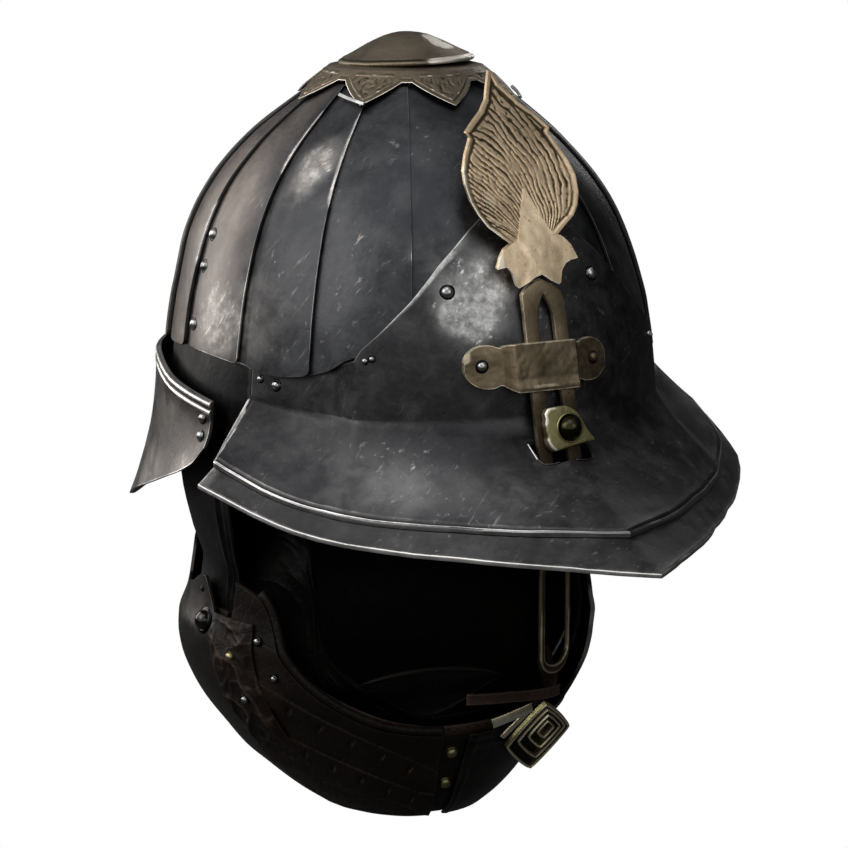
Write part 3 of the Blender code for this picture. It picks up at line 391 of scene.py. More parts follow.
def leather(name, base, light, rough=(0.42, 0.66), grain=1.0, spec=0.35):
    g = Graph(name)
    big = g.noise(30, 5, 0.6, 0.6)
    pores = g.cells(520, "F1", g.coords((1, 1, 1), (0.3, 0.2, 0.1)))
    crease = g.cells(150, "DISTANCE_TO_EDGE")
    mid = g.noise(240, 6, 0.7, 0.4)
    color = g.mix(g.remap(big, 0.40, 0.66), base, light)
    color = g.mix(g.remap(mid, 0.50, 0.70, 0.0, 0.5), color, tuple(0.5 * c for c in base))
    # edges are lightened; the groove attribute paints near black as shade, and the wear attribute adds painted glints
    color = g.mix(g.remap(g.attr("edge"), 0.3, 0.9, 0.0, 0.6), color, tuple(min(1.0, 2.2 * c) for c in light))
    color = g.mix(g.attr("groove_and_shade"), color, (0.001, 0.001, 0.001))
    color = g.mix(g.remap(g.attr("wear"), 0.2, 1.1, 0.0, 0.9), color, tuple(min(1.0, 6.0 * c) for c in light))
    n = g.bump(big, 0.35, 0.0016)
    n = g.bump(g.remap(crease, 0.0, 0.12), 0.22 * grain, 0.0005, n)
    n = g.bump(pores, 0.20 * grain, 0.0004, n)
    n = g.bump(mid, 0.2 * grain, 0.0004, n)
    r = g.remap(mid, 0.3, 0.7, rough[0], rough[1])
    return g.shade(color, r, 0.0, n, spec)


STEEL = steel("steel_lame", (0.037, 0.038, 0.041), (0.070, 0.071, 0.074), (0.60, 0.565, 0.53), (0.95, 0.93, 0.90),
              (0.36, 0.52), 0.8, (0.150, 0.126, 0.110), rim=0.06)
STEEL_BROW = steel("steel_brow", (0.040, 0.039, 0.041), (0.078, 0.077, 0.079), (0.66, 0.65, 0.63), (0.72, 0.70, 0.68),
                   (0.36, 0.54), 1.1)
STEEL_BORDER = steel("steel_border", (0.042, 0.041, 0.042), (0.080, 0.078, 0.078), (0.55, 0.53, 0.51),
                     (0.70, 0.68, 0.65), (0.36, 0.54), 1.0, rim=0.45)
STEEL_GUARD = steel("steel_guard", (0.078, 0.072, 0.068), (0.140, 0.129, 0.120), (0.66, 0.61, 0.56), (0.95, 0.92, 0.88),
                    (0.36, 0.50), 0.6, (0.12, 0.105, 0.095), rim=0.3)
STEEL_DARK = steel("steel_dark", (0.016, 0.016, 0.017), (0.034, 0.033, 0.032), (0.20, 0.19, 0.18), (0.30, 0.29, 0.27),
                   (0.38, 0.56), 0.4, rim=0.2)
STEEL_COLLAR = steel("steel_collar", (0.026, 0.023, 0.021), (0.046, 0.041, 0.038), (0.22, 0.20, 0.18),
                     (0.24, 0.22, 0.20), (0.36, 0.50), 0.3, rim=0.2)
STEEL_RIVET = steel("steel_rivet", (0.30, 0.30, 0.30), (0.55, 0.54, 0.53), (0.8, 0.78, 0.76), (0.85, 0.83, 0.8),
                    (0.14, 0.26), 0.2)
BRASS = brass("brass_leaf", (0.66, 0.505, 0.330), (0.50, 0.375, 0.240), (0.98, 0.90, 0.70), (0.36, 0.52))
BRASS_STAR = brass("brass_star", (0.98, 0.78, 0.54), (0.76, 0.59, 0.39), (1.0, 0.92, 0.74), (0.38, 0.54), 1.2)
BRASS_PALE = brass("brass_pale", (0.95, 0.84, 0.58), (0.62, 0.52, 0.33), (1.0, 0.97, 0.88), (0.22, 0.38))
BRASS_DARK = brass("brass_dark", (0.240, 0.188, 0.122), (0.135, 0.106, 0.066), (0.70, 0.60, 0.44), (0.38, 0.56), 1.5)
BRASS_CAP = brass("brass_cap", (0.215, 0.172, 0.122), (0.150, 0.120, 0.086), (0.94, 0.88, 0.78), (0.36, 0.52), 0.6)
BRASS_GOLD = brass("brass_gold", (0.40, 0.365, 0.175), (0.22, 0.20, 0.092), (0.95, 0.90, 0.72), (0.26, 0.42), 0.7)
STEEL_KNOB = steel("steel_knob", (0.035, 0.034, 0.033), (0.06, 0.058, 0.056), (0.3, 0.3, 0.3), (0.4, 0.4, 0.4),
                   (0.07, 0.13), 0.1)
STUD_DARK = brass("brass_stud", (0.050, 0.046, 0.024), (0.030, 0.028, 0.015), (0.4, 0.36, 0.24), (0.07, 0.14), 0.2)
# these leathers are near black, partly their own colour and partly painted shade for the light falling off low down
LEATHER = leather("leather_black", (0.0045, 0.0038, 0.0034), (0.0080, 0.0068, 0.0060), spec=0.14)
LEATHER_BROWN = leather("leather_brown", (0.0060, 0.0040, 0.0030), (0.0115, 0.0075, 0.0055), spec=0.16)
LEATHER_BELT = leather("leather_belt", (0.030, 0.018, 0.014), (0.050, 0.031, 0.024), spec=0.22)
# the face lining is near black, painted as the shade inside the helmet
LINING_SHADED = leather("leather_lining_shaded", (0.0016, 0.0013, 0.0011), (0.0030, 0.0024, 0.0020), spec=0.06)


# ---------------------------------------------------------------- meshes

def piece(name, verts, faces, mat, nodes=(), body="helmet", attrs=None, bevel=0.0, seg=2, limit=34,
          weld=False):
    me = bpy.data.meshes.new(name)
    me.from_pydata([tuple(c * MM for c in v) for v in verts], [], faces)
    bm = bmesh.new()
    bm.from_mesh(me)
    bmesh.ops.recalc_face_normals(bm, faces=bm.faces)
    if bm.calc_volume(signed=True) < 0:
        bmesh.ops.reverse_faces(bm, faces=bm.faces)
    bm.to_mesh(me)
    bm.free()
    me.shade_smooth()
    for key, values in (attrs or {}).items():
        layer = me.attributes.new(key, "FLOAT", "POINT")
        layer.data.foreach_set("value", values)
    me.materials.append(mat)
    ob = bpy.data.objects.new(name, me)
    bpy.context.scene.collection.objects.link(ob)
    if bevel:
        b = ob.modifiers.new("bevel", "BEVEL")
        b.width = bevel * MM
        b.segments = seg
        b.limit_method = "ANGLE"
        b.angle_limit = math.radians(limit)
        b.use_clamp_overlap = True
        w = ob.modifiers.new("normals", "WEIGHTED_NORMAL")
        w.weight = 90
    if nodes:
        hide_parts(*nodes)
    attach(ob, body)
    return ob


def edge_values(grid, wrap, reach, rims=(1, 1, 1, 1)):
    """1 at the sheet's border, falling to 0 'reach' mm inside; rims are the four borders that count."""
    ni, nj = len(grid), len(grid[0])
    along_j = []
    for i in range(ni):
        s = [0.0]
        for j in range(1, nj):
            s.append(s[-1] + (grid[i][j] - grid[i][j - 1]).length)
        along_j.append(s)
    along_i = [[0.0] * nj for _ in range(ni)]
    for i in range(1, ni):
        for j in range(nj):
            along_i[i][j] = along_i[i - 1][j] + (grid[i][j] - grid[i - 1][j]).length
    out = []
    for i in range(ni):
        for j in range(nj):
            d = [1e3]
            if rims[2]:
                d.append(along_j[i][j])
            if rims[3]:
                d.append(along_j[i][-1] - along_j[i][j])
            if not wrap and rims[0]:
                d.append(along_i[i][j])
            if not wrap and rims[1]:
                d.append(along_i[-1][j] - along_i[i][j])
            out.append(max(0.0, 1 - min(d) / reach))
    return out


def slab(name, outer, inner, mat, nodes, wrap=False, bevel=0.35, reach=0.9, extra=None, body="helmet",
         rims=(1, 1, 1, 1), worn_and_lit=True, seg=2):
    """A sheet between two grids; extra(i, j) gives {attribute: value}."""
    ni, nj = len(outer), len(outer[0])
    verts = [p for row in outer for p in row] + [p for row in inner for p in row]
    base = ni * nj

    def o(i, j):
        return (i % ni) * nj + j

    faces = []
    for i in range(ni if wrap else ni - 1):
        for j in range(nj - 1):
            q = [o(i, j), o(i + 1, j), o(i + 1, j + 1), o(i, j + 1)]
            faces.append(q)
            faces.append([base + k for k in reversed(q)])
        for j in (0, nj - 1):
            faces.append([o(i, j), o(i + 1, j), base + o(i + 1, j), base + o(i, j)])
    if not wrap:
        for j in range(nj - 1):
            for i in (0, ni - 1):
                faces.append([o(i, j), o(i, j + 1), base + o(i, j + 1), base + o(i, j)])
    attrs = {"edge": edge_values(outer, wrap, reach, rims) + edge_values(inner, wrap, reach * 0.7, rims)}
    attrs["wear"] = [wear_and_glint_at(v) if worn_and_lit and k < base else 0.0 for k, v in enumerate(verts)]
    if extra is not None:
        keys = extra(0, 0).keys()
        for key in keys:
            front = [extra(i, j)[key] for i in range(ni) for j in range(nj)]
            attrs[key] = front + [0.0] * base
    return piece(name, verts, faces, mat, nodes, body, attrs, bevel, seg)


def tube(name, path, section, mat, nodes=(), closed=False, body="helmet", bevel=0.0, attrs=None):
    n, k = len(path), len(section)
    verts = [p + s * a + o * b for p, s, o in path for a, b in section]
    faces = []
    for i in range(n if closed else n - 1):
        for j in range(k):
            a, b = i * k + j, i * k + (j + 1) % k
            c, d = ((i + 1) % n) * k + (j + 1) % k, ((i + 1) % n) * k + j
            faces.append([a, b, c, d])
    if not closed:
        faces.append(list(range(k)))
        faces.append([(n - 1) * k + j for j in reversed(range(k))])
    return piece(name, verts, faces, mat, nodes, body, attrs, bevel)


def ring(r, n, squash=1.0):
    return [(r * math.cos(2 * math.pi * i / n), r * squash * math.sin(2 * math.pi * i / n)) for i in range(n)]


def frames(points, out_of, closed=False):
    rows = []
    n = len(points)
    for i, p in enumerate(points):
        if closed:
            t = (points[(i + 1) % n] - points[i - 1]).normalized()
        else:
            t = (points[min(i + 1, n - 1)] - points[max(i - 1, 0)]).normalized()
        o = out_of(i, p)
        o = (o - t * o.dot(t)).normalized()
        rows.append((p, t.cross(o), o))
    return rows


def turned(name, at, out, prof, mat, nodes=(), body="helmet", sides=32, attrs_of=None, lump=0.0, seed=0):
    """A turned head or boss standing on a face: prof rows are (radius, height), the last radius 0 closes it."""
    rot = Vector(out).normalized().to_track_quat("Z", "X").to_matrix()
    verts, edge, groove_and_shade = [], [], []
    for k, (r, h) in enumerate(prof[:-1]):
        for i in range(sides):
            a = 2 * math.pi * i / sides
            w = 1 + lump * noise.noise(Vector((math.cos(a) * 1.3, math.sin(a) * 1.3, h * 0.6 + seed)))
            verts.append(at + rot @ Vector((r * w * math.cos(a), r * w * math.sin(a), h)))
            g = attrs_of(k) if attrs_of else (0.0, 0.0)
            edge.append(g[0])
            groove_and_shade.append(g[1])
    top = len(verts)
    verts.append(at + rot @ Vector((0, 0, prof[-1][1])))
    edge.append(0.0)
    groove_and_shade.append(0.0)
    faces = [list(reversed(range(sides)))]
    rows = len(prof) - 1
    for k in range(rows - 1):
        for i in range(sides):
            a, b = k * sides + i, k * sides + (i + 1) % sides
            faces.append([a, b, b + sides, a + sides])
    last = (rows - 1) * sides
    for i in range(sides):
        faces.append([last + i, last + (i + 1) % sides, top])
    return piece(name, verts, faces, mat, nodes, body, {"edge": edge, "groove_and_shade": groove_and_shade})


def dome(r, h, n=7, lip=0.12):
    rows = [(r, 0.0), (r * 1.0, lip * h)]
    for k in range(1, n):
        a = 0.5 * math.pi * k / n
        rows.append((r * math.cos(a) * 0.985, lip * h + (h - lip * h) * math.sin(a)))
    return rows + [(0.0, h)]


def rivet(name, surface, phi, z, off, r, h, mat=None, nodes=(), body="helmet"):
    """A domed rivet head with a ring round its foot painted dark as shade."""
    e = 0.5
    n = (surface(phi + e, z) - surface(phi - e, z)).cross(surface(phi, z + e) - surface(phi, z - e)).normalized()
    p0 = surface(phi, z)
    radial = Vector((p0.x, p0.y, 0)).normalized()
    at = p0 + radial * off
    prof = [(r * 1.42, -0.35), (r * 1.36, 0.12), (r * 1.02, 0.20)] + [(a, b + 0.18) for a, b in dome(r, h)]
    return turned(name, at, n, prof, mat or STEEL_RIVET, nodes, body, 24,
                  lambda k: (0.0, 1.0) if k < 3 else (0.0, 0.0), 0.06, phi + z)


# ---------------------------------------------------------------- lames

def foot_round(ph, e0, e1, z0, corners):
    """Lower edge of a lame with its corners rounded; e0, e1 are its visible edges."""
    r = skull_r(ph, z0)
    rise = 0.0
    for on, e in zip(corners, (e0, e1)):
        d = abs(ph - e) * math.pi / 180 * r
        if on and d < 2.4:
            rise = max(rise, 2.4 - math.sqrt(max(0.0, 5.76 - (2.4 - d) ** 2)))
    return z0 + rise * 0.9


LAME_S = [0, 0.004, 0.010, 0.02, 0.035, 0.055] + steps(0.08, 0.97, 36) + [0.985, 1.0]


# the strips' front edges painted bright as highlight on the lit wearer's right: strip, from and to height, width,
# strength
EDGE_HIGHLIGHTS = (("1", 66, 74, 0.06, 0.5), ("2", 86, 122, 0.050, 1.15), ("2", 30, 86, 0.03, 0.25), ("3", 96, 122, 0.045, 1.1),
              ("4", 55, 84, 0.10, 0.7))


def lame(side, e0, e1, rear, node):
    us = [0, 0.010, 0.028, 0.06, 0.11, 0.18, 0.27, 0.36, 0.45, 0.54, 0.63, 0.72, 0.80, 0.87, 0.93, 0.97, 1.0,
          (e1 - e0 + rear * 0.5) / (e1 - e0), (e1 - e0 + rear) / (e1 - e0)]
    outer, inner, marks = [], [], []
    for u in us:
        t = min(1.0, u / 0.95)
        ph = side * mix(e0, e1, u)
        z0 = foot_round(abs(ph), e0, e1 + 99, foot(ph), (True, False))
        co, ci, cm = [], [], []
        for s in LAME_S:
            z = mix(z0, 131.0, s)
            rise = 0.8 * 4 * t * (1 - t) * (1.0 - 0.7 * s) - LAME_STEP * t - 0.9
            rise += dent(skull(ph, z))
            rise += 1.5 * ease(abs(ph), 88, 112) * ease(z, 44, 70) * (1 - ease(z, 108, 128))
            co.append(skull(ph, z, rise))
            ci.append(skull(ph, z, rise - SHEET))
            # painted highlight along the front edge, on the wearer's right only
            bright = 0.0
            if side < 0:
                bright = max(w * (1 - ease(u, wide * 0.6, wide)) * ease(z, za, za + 4) * (1 - ease(z, zb - 4, zb))
                             for k, za, zb, wide, w in EDGE_HIGHLIGHTS if k == node[-1]) if any(
                                 k == node[-1] for k, *_ in EDGE_HIGHLIGHTS) else 0.0
            # the strips past about 66 degrees take the painted lighter, warmer tone of lit steel
            cm.append({"wear": max(wear_and_glint_at(co[-1]), bright), "lit_side": ease(abs(ph), 66, 84)})
        outer.append(co)
        inner.append(ci)
        marks.append(cm)
    return slab("skull_" + node, outer, inner, STEEL, [node], bevel=0.30, reach=0.75, rims=(1, 0, 1, 0),
                extra=lambda i, j: marks[i][j])


def lame_wide(edges_to, sink, node, rounded):
    a, b = edges_to
    outer, inner = [], []
    for u in span(26, (0.006, 0.018, 0.036)):
        ph = mix(a, b, u)
        t = abs(u - 0.5) * 2
        f = ph if ph < 180 else 360 - ph
        z0 = foot_round(ph, a, b, foot(f), rounded)
        co, ci = [], []
        for s in LAME_S:
            z = mix(z0, 131.0, s)
            rise = 0.8 * max(0.0, 1 - (t / 0.84) ** 2) * (1.0 - 0.7 * s) - sink - 0.9 + dent(skull(ph, z))
            co.append(skull(ph, z, rise))
            ci.append(skull(ph, z, rise - SHEET))
        outer.append(co)
        inner.append(ci)
    return slab("skull_" + node, outer, inner, STEEL, [node], bevel=0.30, reach=0.75, rims=(1, 1, 1, 0))


lame_wide((-EDGES[0] - 4, EDGES[0] + 4), LAME_STEP, "lame_front", (False, False))
for i in range(7):
    for side, tag in ((-1, "r"), (1, "l")):
        lame(side, EDGES[i], EDGES[i + 1], 4.0, "lame_%s%d" % (tag, i + 1))
lame_wide((EDGES[7], 360 - EDGES[7]), 0.0, "lame_back", (True, True))

# the cut upper end of one strip each side shows as a ledge below the crown, painted bright all over as a highlight
for side, tag in ((-1, "r"), (1, "l")):
    pts = [skull(side * mix(64.5, 47.0, t), mix(127.6, 124.6, t), 2.0) for t in steps(0, 1, 16)]
    tube("lame_end_" + tag, frames(pts, lambda i, p: Vector((p.x, p.y, 30)).normalized()),
         [(-0.8, -0.9), (0.8, -0.9), (0.8, 0.4), (-0.8, 0.4)], STEEL, (), bevel=0.25,
         attrs={"edge": [1.0] * (17 * 4), "wear": [0.3] * (17 * 4)})

# ---------------------------------------------------------------- crown

PETALS = 8


def petal_k(phi):
    k = ((phi - CROWN_TURN) / (360.0 / PETALS)) % 1.0
    return (k if k < 0.5 else k - 1.0) * 2          # -1 to 1 across one petal


def crown():
    us = [CROWN_TURN + 360.0 * i / 720 for i in range(720)]
    vs = [0, 0.04, 0.09] + steps(0.14, 0.92, 26) + [0.945, 0.965, 0.985, 1.0]
    outer, inner, marks = [], [], []
    for ph in us:
        k = petal_k(ph)
        drop = max(0.0, 1.0 - abs(k) / 0.86)
        low = 132.6 - 8.6 * drop
        co = [polar(ph, 2.0, 138.0), polar(ph, 26.0, 138.0), polar(ph, 28.4, 137.95)]
        ci = [polar(ph, 2.0, 137.0), polar(ph, 26.0, 137.0), polar(ph, 28.0, 136.9)]
        cm = [{"groove_and_shade": 0.0, "wear": 0.0}] * 3
        for s in vs:
            z = mix(137.0, low, s)
            from_edge = (1 - s) * (137.0 - low) * 1.35
            side = (0.86 - abs(k)) * 17.0
            d = min(from_edge, 0.62 * (from_edge + side)) if drop > 0 else from_edge
            rim = 0.30 * bell(d, 0.7, 0.55) - 0.22 * bell(d, 1.9, 0.5)
            # an engraved V inside each petal's edge, closed by a bar above, with a scroll in it
            x, y = k * 17.0, (z - 131.2) * 1.35
            inner_v = d - 3.1
            top_bar = (135.1 - z) * 1.35
            frame_d = -min(inner_v, top_bar)
            scroll, dark = 0.0, 0.6 * bell(d, 1.9, 0.4)
            if drop > 0.05 and abs(x) < 10.5 and frame_d < 1.2:
                scroll = 0.40 * bell(frame_d, 0.0, 0.45)
                dark = max(dark, 0.75 * bell(frame_d, 0.8, 0.3), 0.6 * bell(frame_d, -0.85, 0.3))
                if frame_d < -1.0:
                    r = math.hypot(x * 0.9, y)
                    a = math.atan2(y, x)
                    q = noise.noise(Vector((x * 0.4 + ph * 0.1, y * 0.4, 2.0)))
                    w = math.sin(1.7 * r - 2 * a + 3.4 * q) * (0.6 + 0.6 * q)
                    scroll += 0.30 * w
                    dark = max(dark, min(1.0, max(0.0, -1.2 * w)))
            p = skull(ph, z, 1.6 - 0.2 + rim + scroll + dent(skull(ph, z), 0.15))
            co.append(p)
            ci.append(skull(ph, z, 0.4))
            cm.append({"groove_and_shade": dark * 0.9, "wear": (0.34 + 0.35 * ease(noise.noise(Vector((ph * 0.2, z, 1))), -0.1, 0.3))
                       * bell(frame_d, 0.0, 0.5) * (1 if drop > 0.05 else 0) * (1 - ease(abs(x), 7.5, 10))
                       + 0.4 * bell(d, 0.6, 0.5) * ease(noise.noise(Vector((ph * 0.15, z, 7))), -0.1, 0.2)})
        outer.append(co)
        inner.append(ci)
        marks.append(cm)
    slab("crown_petals", outer, inner, BRASS_CAP, ["crown_rosette"], wrap=True, bevel=0.0, reach=0.7,
         extra=lambda i, j: marks[i][j], rims=(0, 0, 0, 1))


crown()

# the cap sits a little askew
CAP_MID = Vector((0, 0, 139.4))
CAP_TILT = Matrix.Rotation(math.radians(2.2), 3, Vector((-0.454, -0.891, 0)))
cap_sides = 240
cv, cap_rim_glint, cap_shade, cap_glint = [], [], [], []
for i in range(cap_sides):
    for k, (r, z) in enumerate(CAP):
        p = polar(360.0 * i / cap_sides, r, z)
        p = CAP_TILT @ (p - CAP_MID) + CAP_MID + Vector((0, 0, 0.14 * noise.noise(p * 0.12)))
        cv.append(p)
        # the rim at the cap's end toward the camera's right is painted bright as highlight; the rows just inside the
        # rim step are painted dark as shade, less so at that end
        right_end = ease(0.891 * p.x - 0.454 * p.y, 4, 14)
        cap_rim_glint.append((1.0 if k in (1, 2, 3, 4) else 0.0) * right_end)
        cap_shade.append((0.9 - 0.8 * right_end) if k in (5, 6) else 0.0)
        # a painted highlight patch on the dome's top, broken up by noise
        d = (p - Vector((9.0, -12.2, 147.5))).length
        speck = 1.0 + 1.5 * noise.noise(p * 0.33) + 0.9 * noise.noise(p * 0.8)
        cap_glint.append(max(0.0, 1.9 - d / 4.6) * max(0.0, speck) if k > 6 else 0.9 * right_end if k in (3, 4, 5, 6, 7) else 0.0)
inner_cap = [CAP_TILT @ (polar(360.0 * i / cap_sides, max(r - (0.9 if k < 3 else 1.1), 0.5),
                               z - (0.0 if k == 0 else 0.3 if k < 3 else 1.3)) - CAP_MID) + CAP_MID
             for i in range(cap_sides) for k, (r, z) in enumerate(CAP)]
nj, nb = len(CAP), cap_sides * len(CAP)
cf = []
for i in range(cap_sides):
    a = (i + 1) % cap_sides
    for j in range(nj - 1):
        q = [i * nj + j, a * nj + j, a * nj + j + 1, i * nj + j + 1]
        cf += [q, [nb + k for k in reversed(q)]]
    cf.append([i * nj, nb + i * nj, nb + a * nj, a * nj])
cf.append([i * nj + nj - 1 for i in range(cap_sides)])
cf.append([nb + i * nj + nj - 1 for i in reversed(range(cap_sides))])
piece("crown_dome", cv + inner_cap, cf, BRASS_CAP, ["crown_cap"], attrs={
    "edge": cap_rim_glint + [0.0] * nb, "groove_and_shade": cap_shade + [0.0] * nb, "wear": cap_glint + [0.0] * nb})


# ---------------------------------------------------------------- brow plate and peak

def crease_z(phi):
    return 2.6 + 6.4 * (min(66.0, abs(phi)) / 63.0) ** 1.6


def plate_off(phi):
    return mix(1.9, -4.6, ease(abs(phi), 36.0, 43.0))


def swell(phi, z):
    """How far the brow plate's free end stands off at the wearer's left."""
    return 4.6 * ease(phi, 44, 60) * (1 - ease(z, 10.5, 17.5))


def flare(phi, s, up=0.0):
    f = abs(phi)
    zc = crease_z(phi)
    r0 = skull_r(phi, zc, plate_off(phi) + swell(phi, zc))
    table = PEAK_LEFT if phi > 0 else PEAK
    r1, z1 = look(table, f, 1), smooth(table, f, 2)
    return polar(phi, mix(r0, r1, s), mix(zc, z1, s ** 0.85) + up)


BROW_EDGE = 65.6


def brow():
    half = [0.0, 1.2, 2.4, 3.6, 5, 6.4, 8, 9.5, 11, 12.7, 14.5, 16.2, 18, 20, 22, 24, 26, 28, 30, 31.8, 33.5, 34.8, 36,
            36.8, 37.5, 38.7, 40, 41, 42, 43, 44, 45.5, 47, 49, 51, 53.5, 56, 58.5, 60.5, 62.0, 63.0, 63.8, 64.5, 65.1,
            BROW_EDGE]
    us = [-a for a in reversed(half[1:])] + half
    up_s = [1.0, 0.99, 0.975, 0.95, 0.91, 0.86, 0.8, 0.73, 0.65, 0.57, 0.49, 0.41, 0.33, 0.26, 0.19, 0.13, 0.08, 0.045]
    dn_mm = [0, 0.35, 0.8, 1.3, 1.7, 2.1, 2.6, 3.2, 4.2, 6.0]
    outer, inner, marks = [], [], []
    for ph in us:
        f = abs(ph)
        zc, zt = crease_z(ph), look(BROW_TOP, f)
        share = look(PEAK, f, 3)
        co, ci, cm = [], [], []
        for s in up_s:
            z = mix(zc, zt, s)
            off = plate_off(ph) + swell(ph, z) + dent(skull(ph, z))
            co.append(skull(ph, z, off))
            ci.append(skull(ph, z, off - SHEET))
            # the plate's end at the wearer's left and its top edge near -23 degrees are painted bright as highlight
            cm.append({"groove_and_shade": 0.0, "wear": wear_and_glint_at(co[-1]) + 0.8 * ease(ph, 62.5, 64.5)
                       + 1.1 * ease(s, 0.955, 0.985) * bell(ph, -23, 8)})
        fan = min(ph, 61.0) if ph > 0 else max(ph, -61.0)
        length = (flare(fan, share) - flare(ph, 0.04)).length
        side_mm = (BROW_EDGE - f) * 1.9
        ss = [0.045, 0.075, 0.11, 0.16, 0.22, 0.29, 0.36, 0.43, 0.50, 0.57, 0.64, 0.70, 0.76, 0.81, 0.855]
        ss += [1 - d / length for d in reversed(dn_mm)]
        for s in ss:
            a = mix(ph, fan, s)
            d = min((1 - s) * length, side_mm if s > 0.05 else 99)
            bead = 0.42 * bell(d, 0.7, 0.5) - 0.40 * bell(d, 1.9, 0.5) + 0.22 * bell(d, 3.0, 0.45)
            p = flare(a, s * share, 1.7)
            p = p + Vector((0, 0, bead + dent(p, 0.3)))
            q = flare(a, s * share, 0.3)
            if s < 0.08:
                q = q + (skull(ph, zc, 0) * 1.0 - p).normalized() * 0.6
            co.append(p)
            ci.append(q)
            shade = 0.42 * (1 - ease(s, 0.05, 0.5)) * (1 - ease(abs(ph + 8), 26, 44))
            # the bead lines are painted brighter toward the wearer's right, partly rubbed wear and partly painted
            # highlight
            rub_and_glint = ease(-ph, 30, 50) * 0.9 + 0.25 + 0.5 * ease(ph, 50, 58)
            cm.append({"groove_and_shade": max(0.8 * bell(d, 1.9, 0.4), shade), "shine": max(bell(d, 0.7, 0.4), 0.8 * bell(d, 3.0, 0.35)),
                       "wear": wear_and_glint_at(p) + rub_and_glint * (bell(d, 0.7, 0.5) + 0.8 * bell(d, 3.0, 0.4))})
            # the peak's end at the wearer's right is painted bright all over as highlight
            if ph < 0 and s > 0.10 and f > 65.0 - 2.7 * s:
                cm[-1]["shine"], cm[-1]["wear"], cm[-1]["groove_and_shade"] = 1.1, 1.1, 0.0
        outer.append(co)
        inner.append(ci)
        marks.append(cm)
    for row in marks:
        for m in row:
            m.setdefault("shine", 0.0)
    ob = slab("brow_plate", outer, inner, STEEL_BROW, ["brow_peak"], bevel=0.35, reach=1.0,
              extra=lambda i, j: {"groove_and_shade": marks[i][j]["groove_and_shade"], "wear": min(1.2, marks[i][j]["wear"])})
    layer = ob.data.attributes["edge"]
    nj2 = len(outer[0])
    for i in range(len(outer)):
        for j in range(nj2):
            item = layer.data[i * nj2 + j]
            item.value = max(item.value, 0.85 * marks[i][j]["shine"])
    # the hole that the bar passes through
    x0, x1, y0, y1 = -13.0, 11.5, -142.0, -129.3
    ring_pts = [(x0, y0 + 4), (x0 + 1.6, y0 + 1.2), (x0 + 5, y0), (x1 - 5, y0), (x1 - 1.6, y0 + 1.2), (x1, y0 + 4),
                (x1, y1), (x0, y1)]
    n = len(ring_pts)
    cme = bpy.data.meshes.new("hole")
    cme.from_pydata([(x * MM, y * MM, z * MM) for z in (-32, 14) for x, y in ring_pts], [],
                    [list(reversed(range(n))), list(range(n, 2 * n))]
                    + [[k, (k + 1) % n, n + (k + 1) % n, n + k] for k in range(n)])
    cutter = bpy.data.objects.new("hole", cme)
    bpy.context.scene.collection.objects.link(cutter)
    mod = ob.modifiers.new("hole", "BOOLEAN")
    mod.operation = "DIFFERENCE"
    mod.solver = "EXACT"
    mod.object = cutter
    with bpy.context.temp_override(object=ob, active_object=ob):
        while ob.modifiers[0].name != "hole":
            bpy.ops.object.modifier_move_to_index(modifier="hole", index=0)
        bpy.ops.object.modifier_apply(modifier="hole")
    bpy.data.objects.remove(cutter)
    return ob


brow()


def border():
    half = [0.0, 1.2, 2.5, 3.8, 5, 6.5, 8, 10, 12, 14.5, 17, 20, 22, 26, 30, 33.5, 36, 40, 44, 47, 51, 54, 57, 59, 60, 60.6, 61]
    us = [-a for a in reversed(half[1:])] + half
    outer, inner = [], []
    for a in us:
        s0 = look(PEAK, abs(a), 3) - 0.14
        co = []
        for s in (0, 0.2, 0.4, 0.55, 0.7, 0.82, 0.90, 0.95, 0.98, 1.0):
            p = flare(a, mix(s0, 1.0, s), -0.1)
            p = p + Vector((0, 0, dent(p, 0.25) * (0 if s < 0.5 else 1) + 0.25 * bell(s, 0.97, 0.03)))
            co.append(p)
        outer.append(co)
        inner.append([Vector((p.x, p.y, p.z - 1.5)) for p in co])
    near = (0, 0.2, 0.4, 0.55, 0.7, 0.82, 0.90, 0.95, 0.98, 1.0)
    # the outer rim is painted brighter, more toward the wearer's right and all over at that end: partly rubbed wear,
    # partly painted highlight
    slab("peak_edge", outer, inner, STEEL_BORDER, ["peak_border"], bevel=0.40, reach=1.1, rims=(1, 1, 0, 1),
         extra=lambda i, j: {"wear": max(wear_and_glint_at(outer[i][j]), ease(near[j], 0.86, 0.97)
                                         * (0.45 + 0.6 * ease(-us[i], 34, 52)),
                                         0.9 * ease(-us[i], 58.5, 60.3))})


border()

# ---------------------------------------------------------------- band and neck guard


def band():
    outer, inner = [], []
    for ph in steps(BROW_EDGE + 0.4, 360 - BROW_EDGE - 0.4, 110):
        f = min(ph, 360 - ph)
        co, ci = [], []
        for v in span(12):
            z = mix(-6.0, foot(f) + 8.0, v)
            off = -4.9 + dent(skull(ph, z), 0.2)
            co.append(skull(ph, z, off))
            ci.append(skull(ph, z, off - SHEET))
        outer.append(co)
        inner.append(ci)
    # the whole band is painted darker as shade under the strips' lower edges
    slab("skull_band_plate", outer, inner, STEEL_DARK, ["skull_band"], bevel=0.3, reach=0.8,
         extra=lambda i, j: {"groove_and_shade": 0.45})


band()

LIP = ((0.0, 0.7), (-0.15, 1.25), (-0.5, 1.85), (-1.0, 2.25), (-1.6, 2.42), (-2.2, 2.25), (-2.7, 1.75), (-3.0, 1.2),
       (-3.25, 0.95), (-3.5, 1.2), (-3.8, 1.75), (-4.3, 2.25), (-4.9, 2.42), (-5.5, 2.25), (-6.0, 1.95), (-6.6, 1.9))


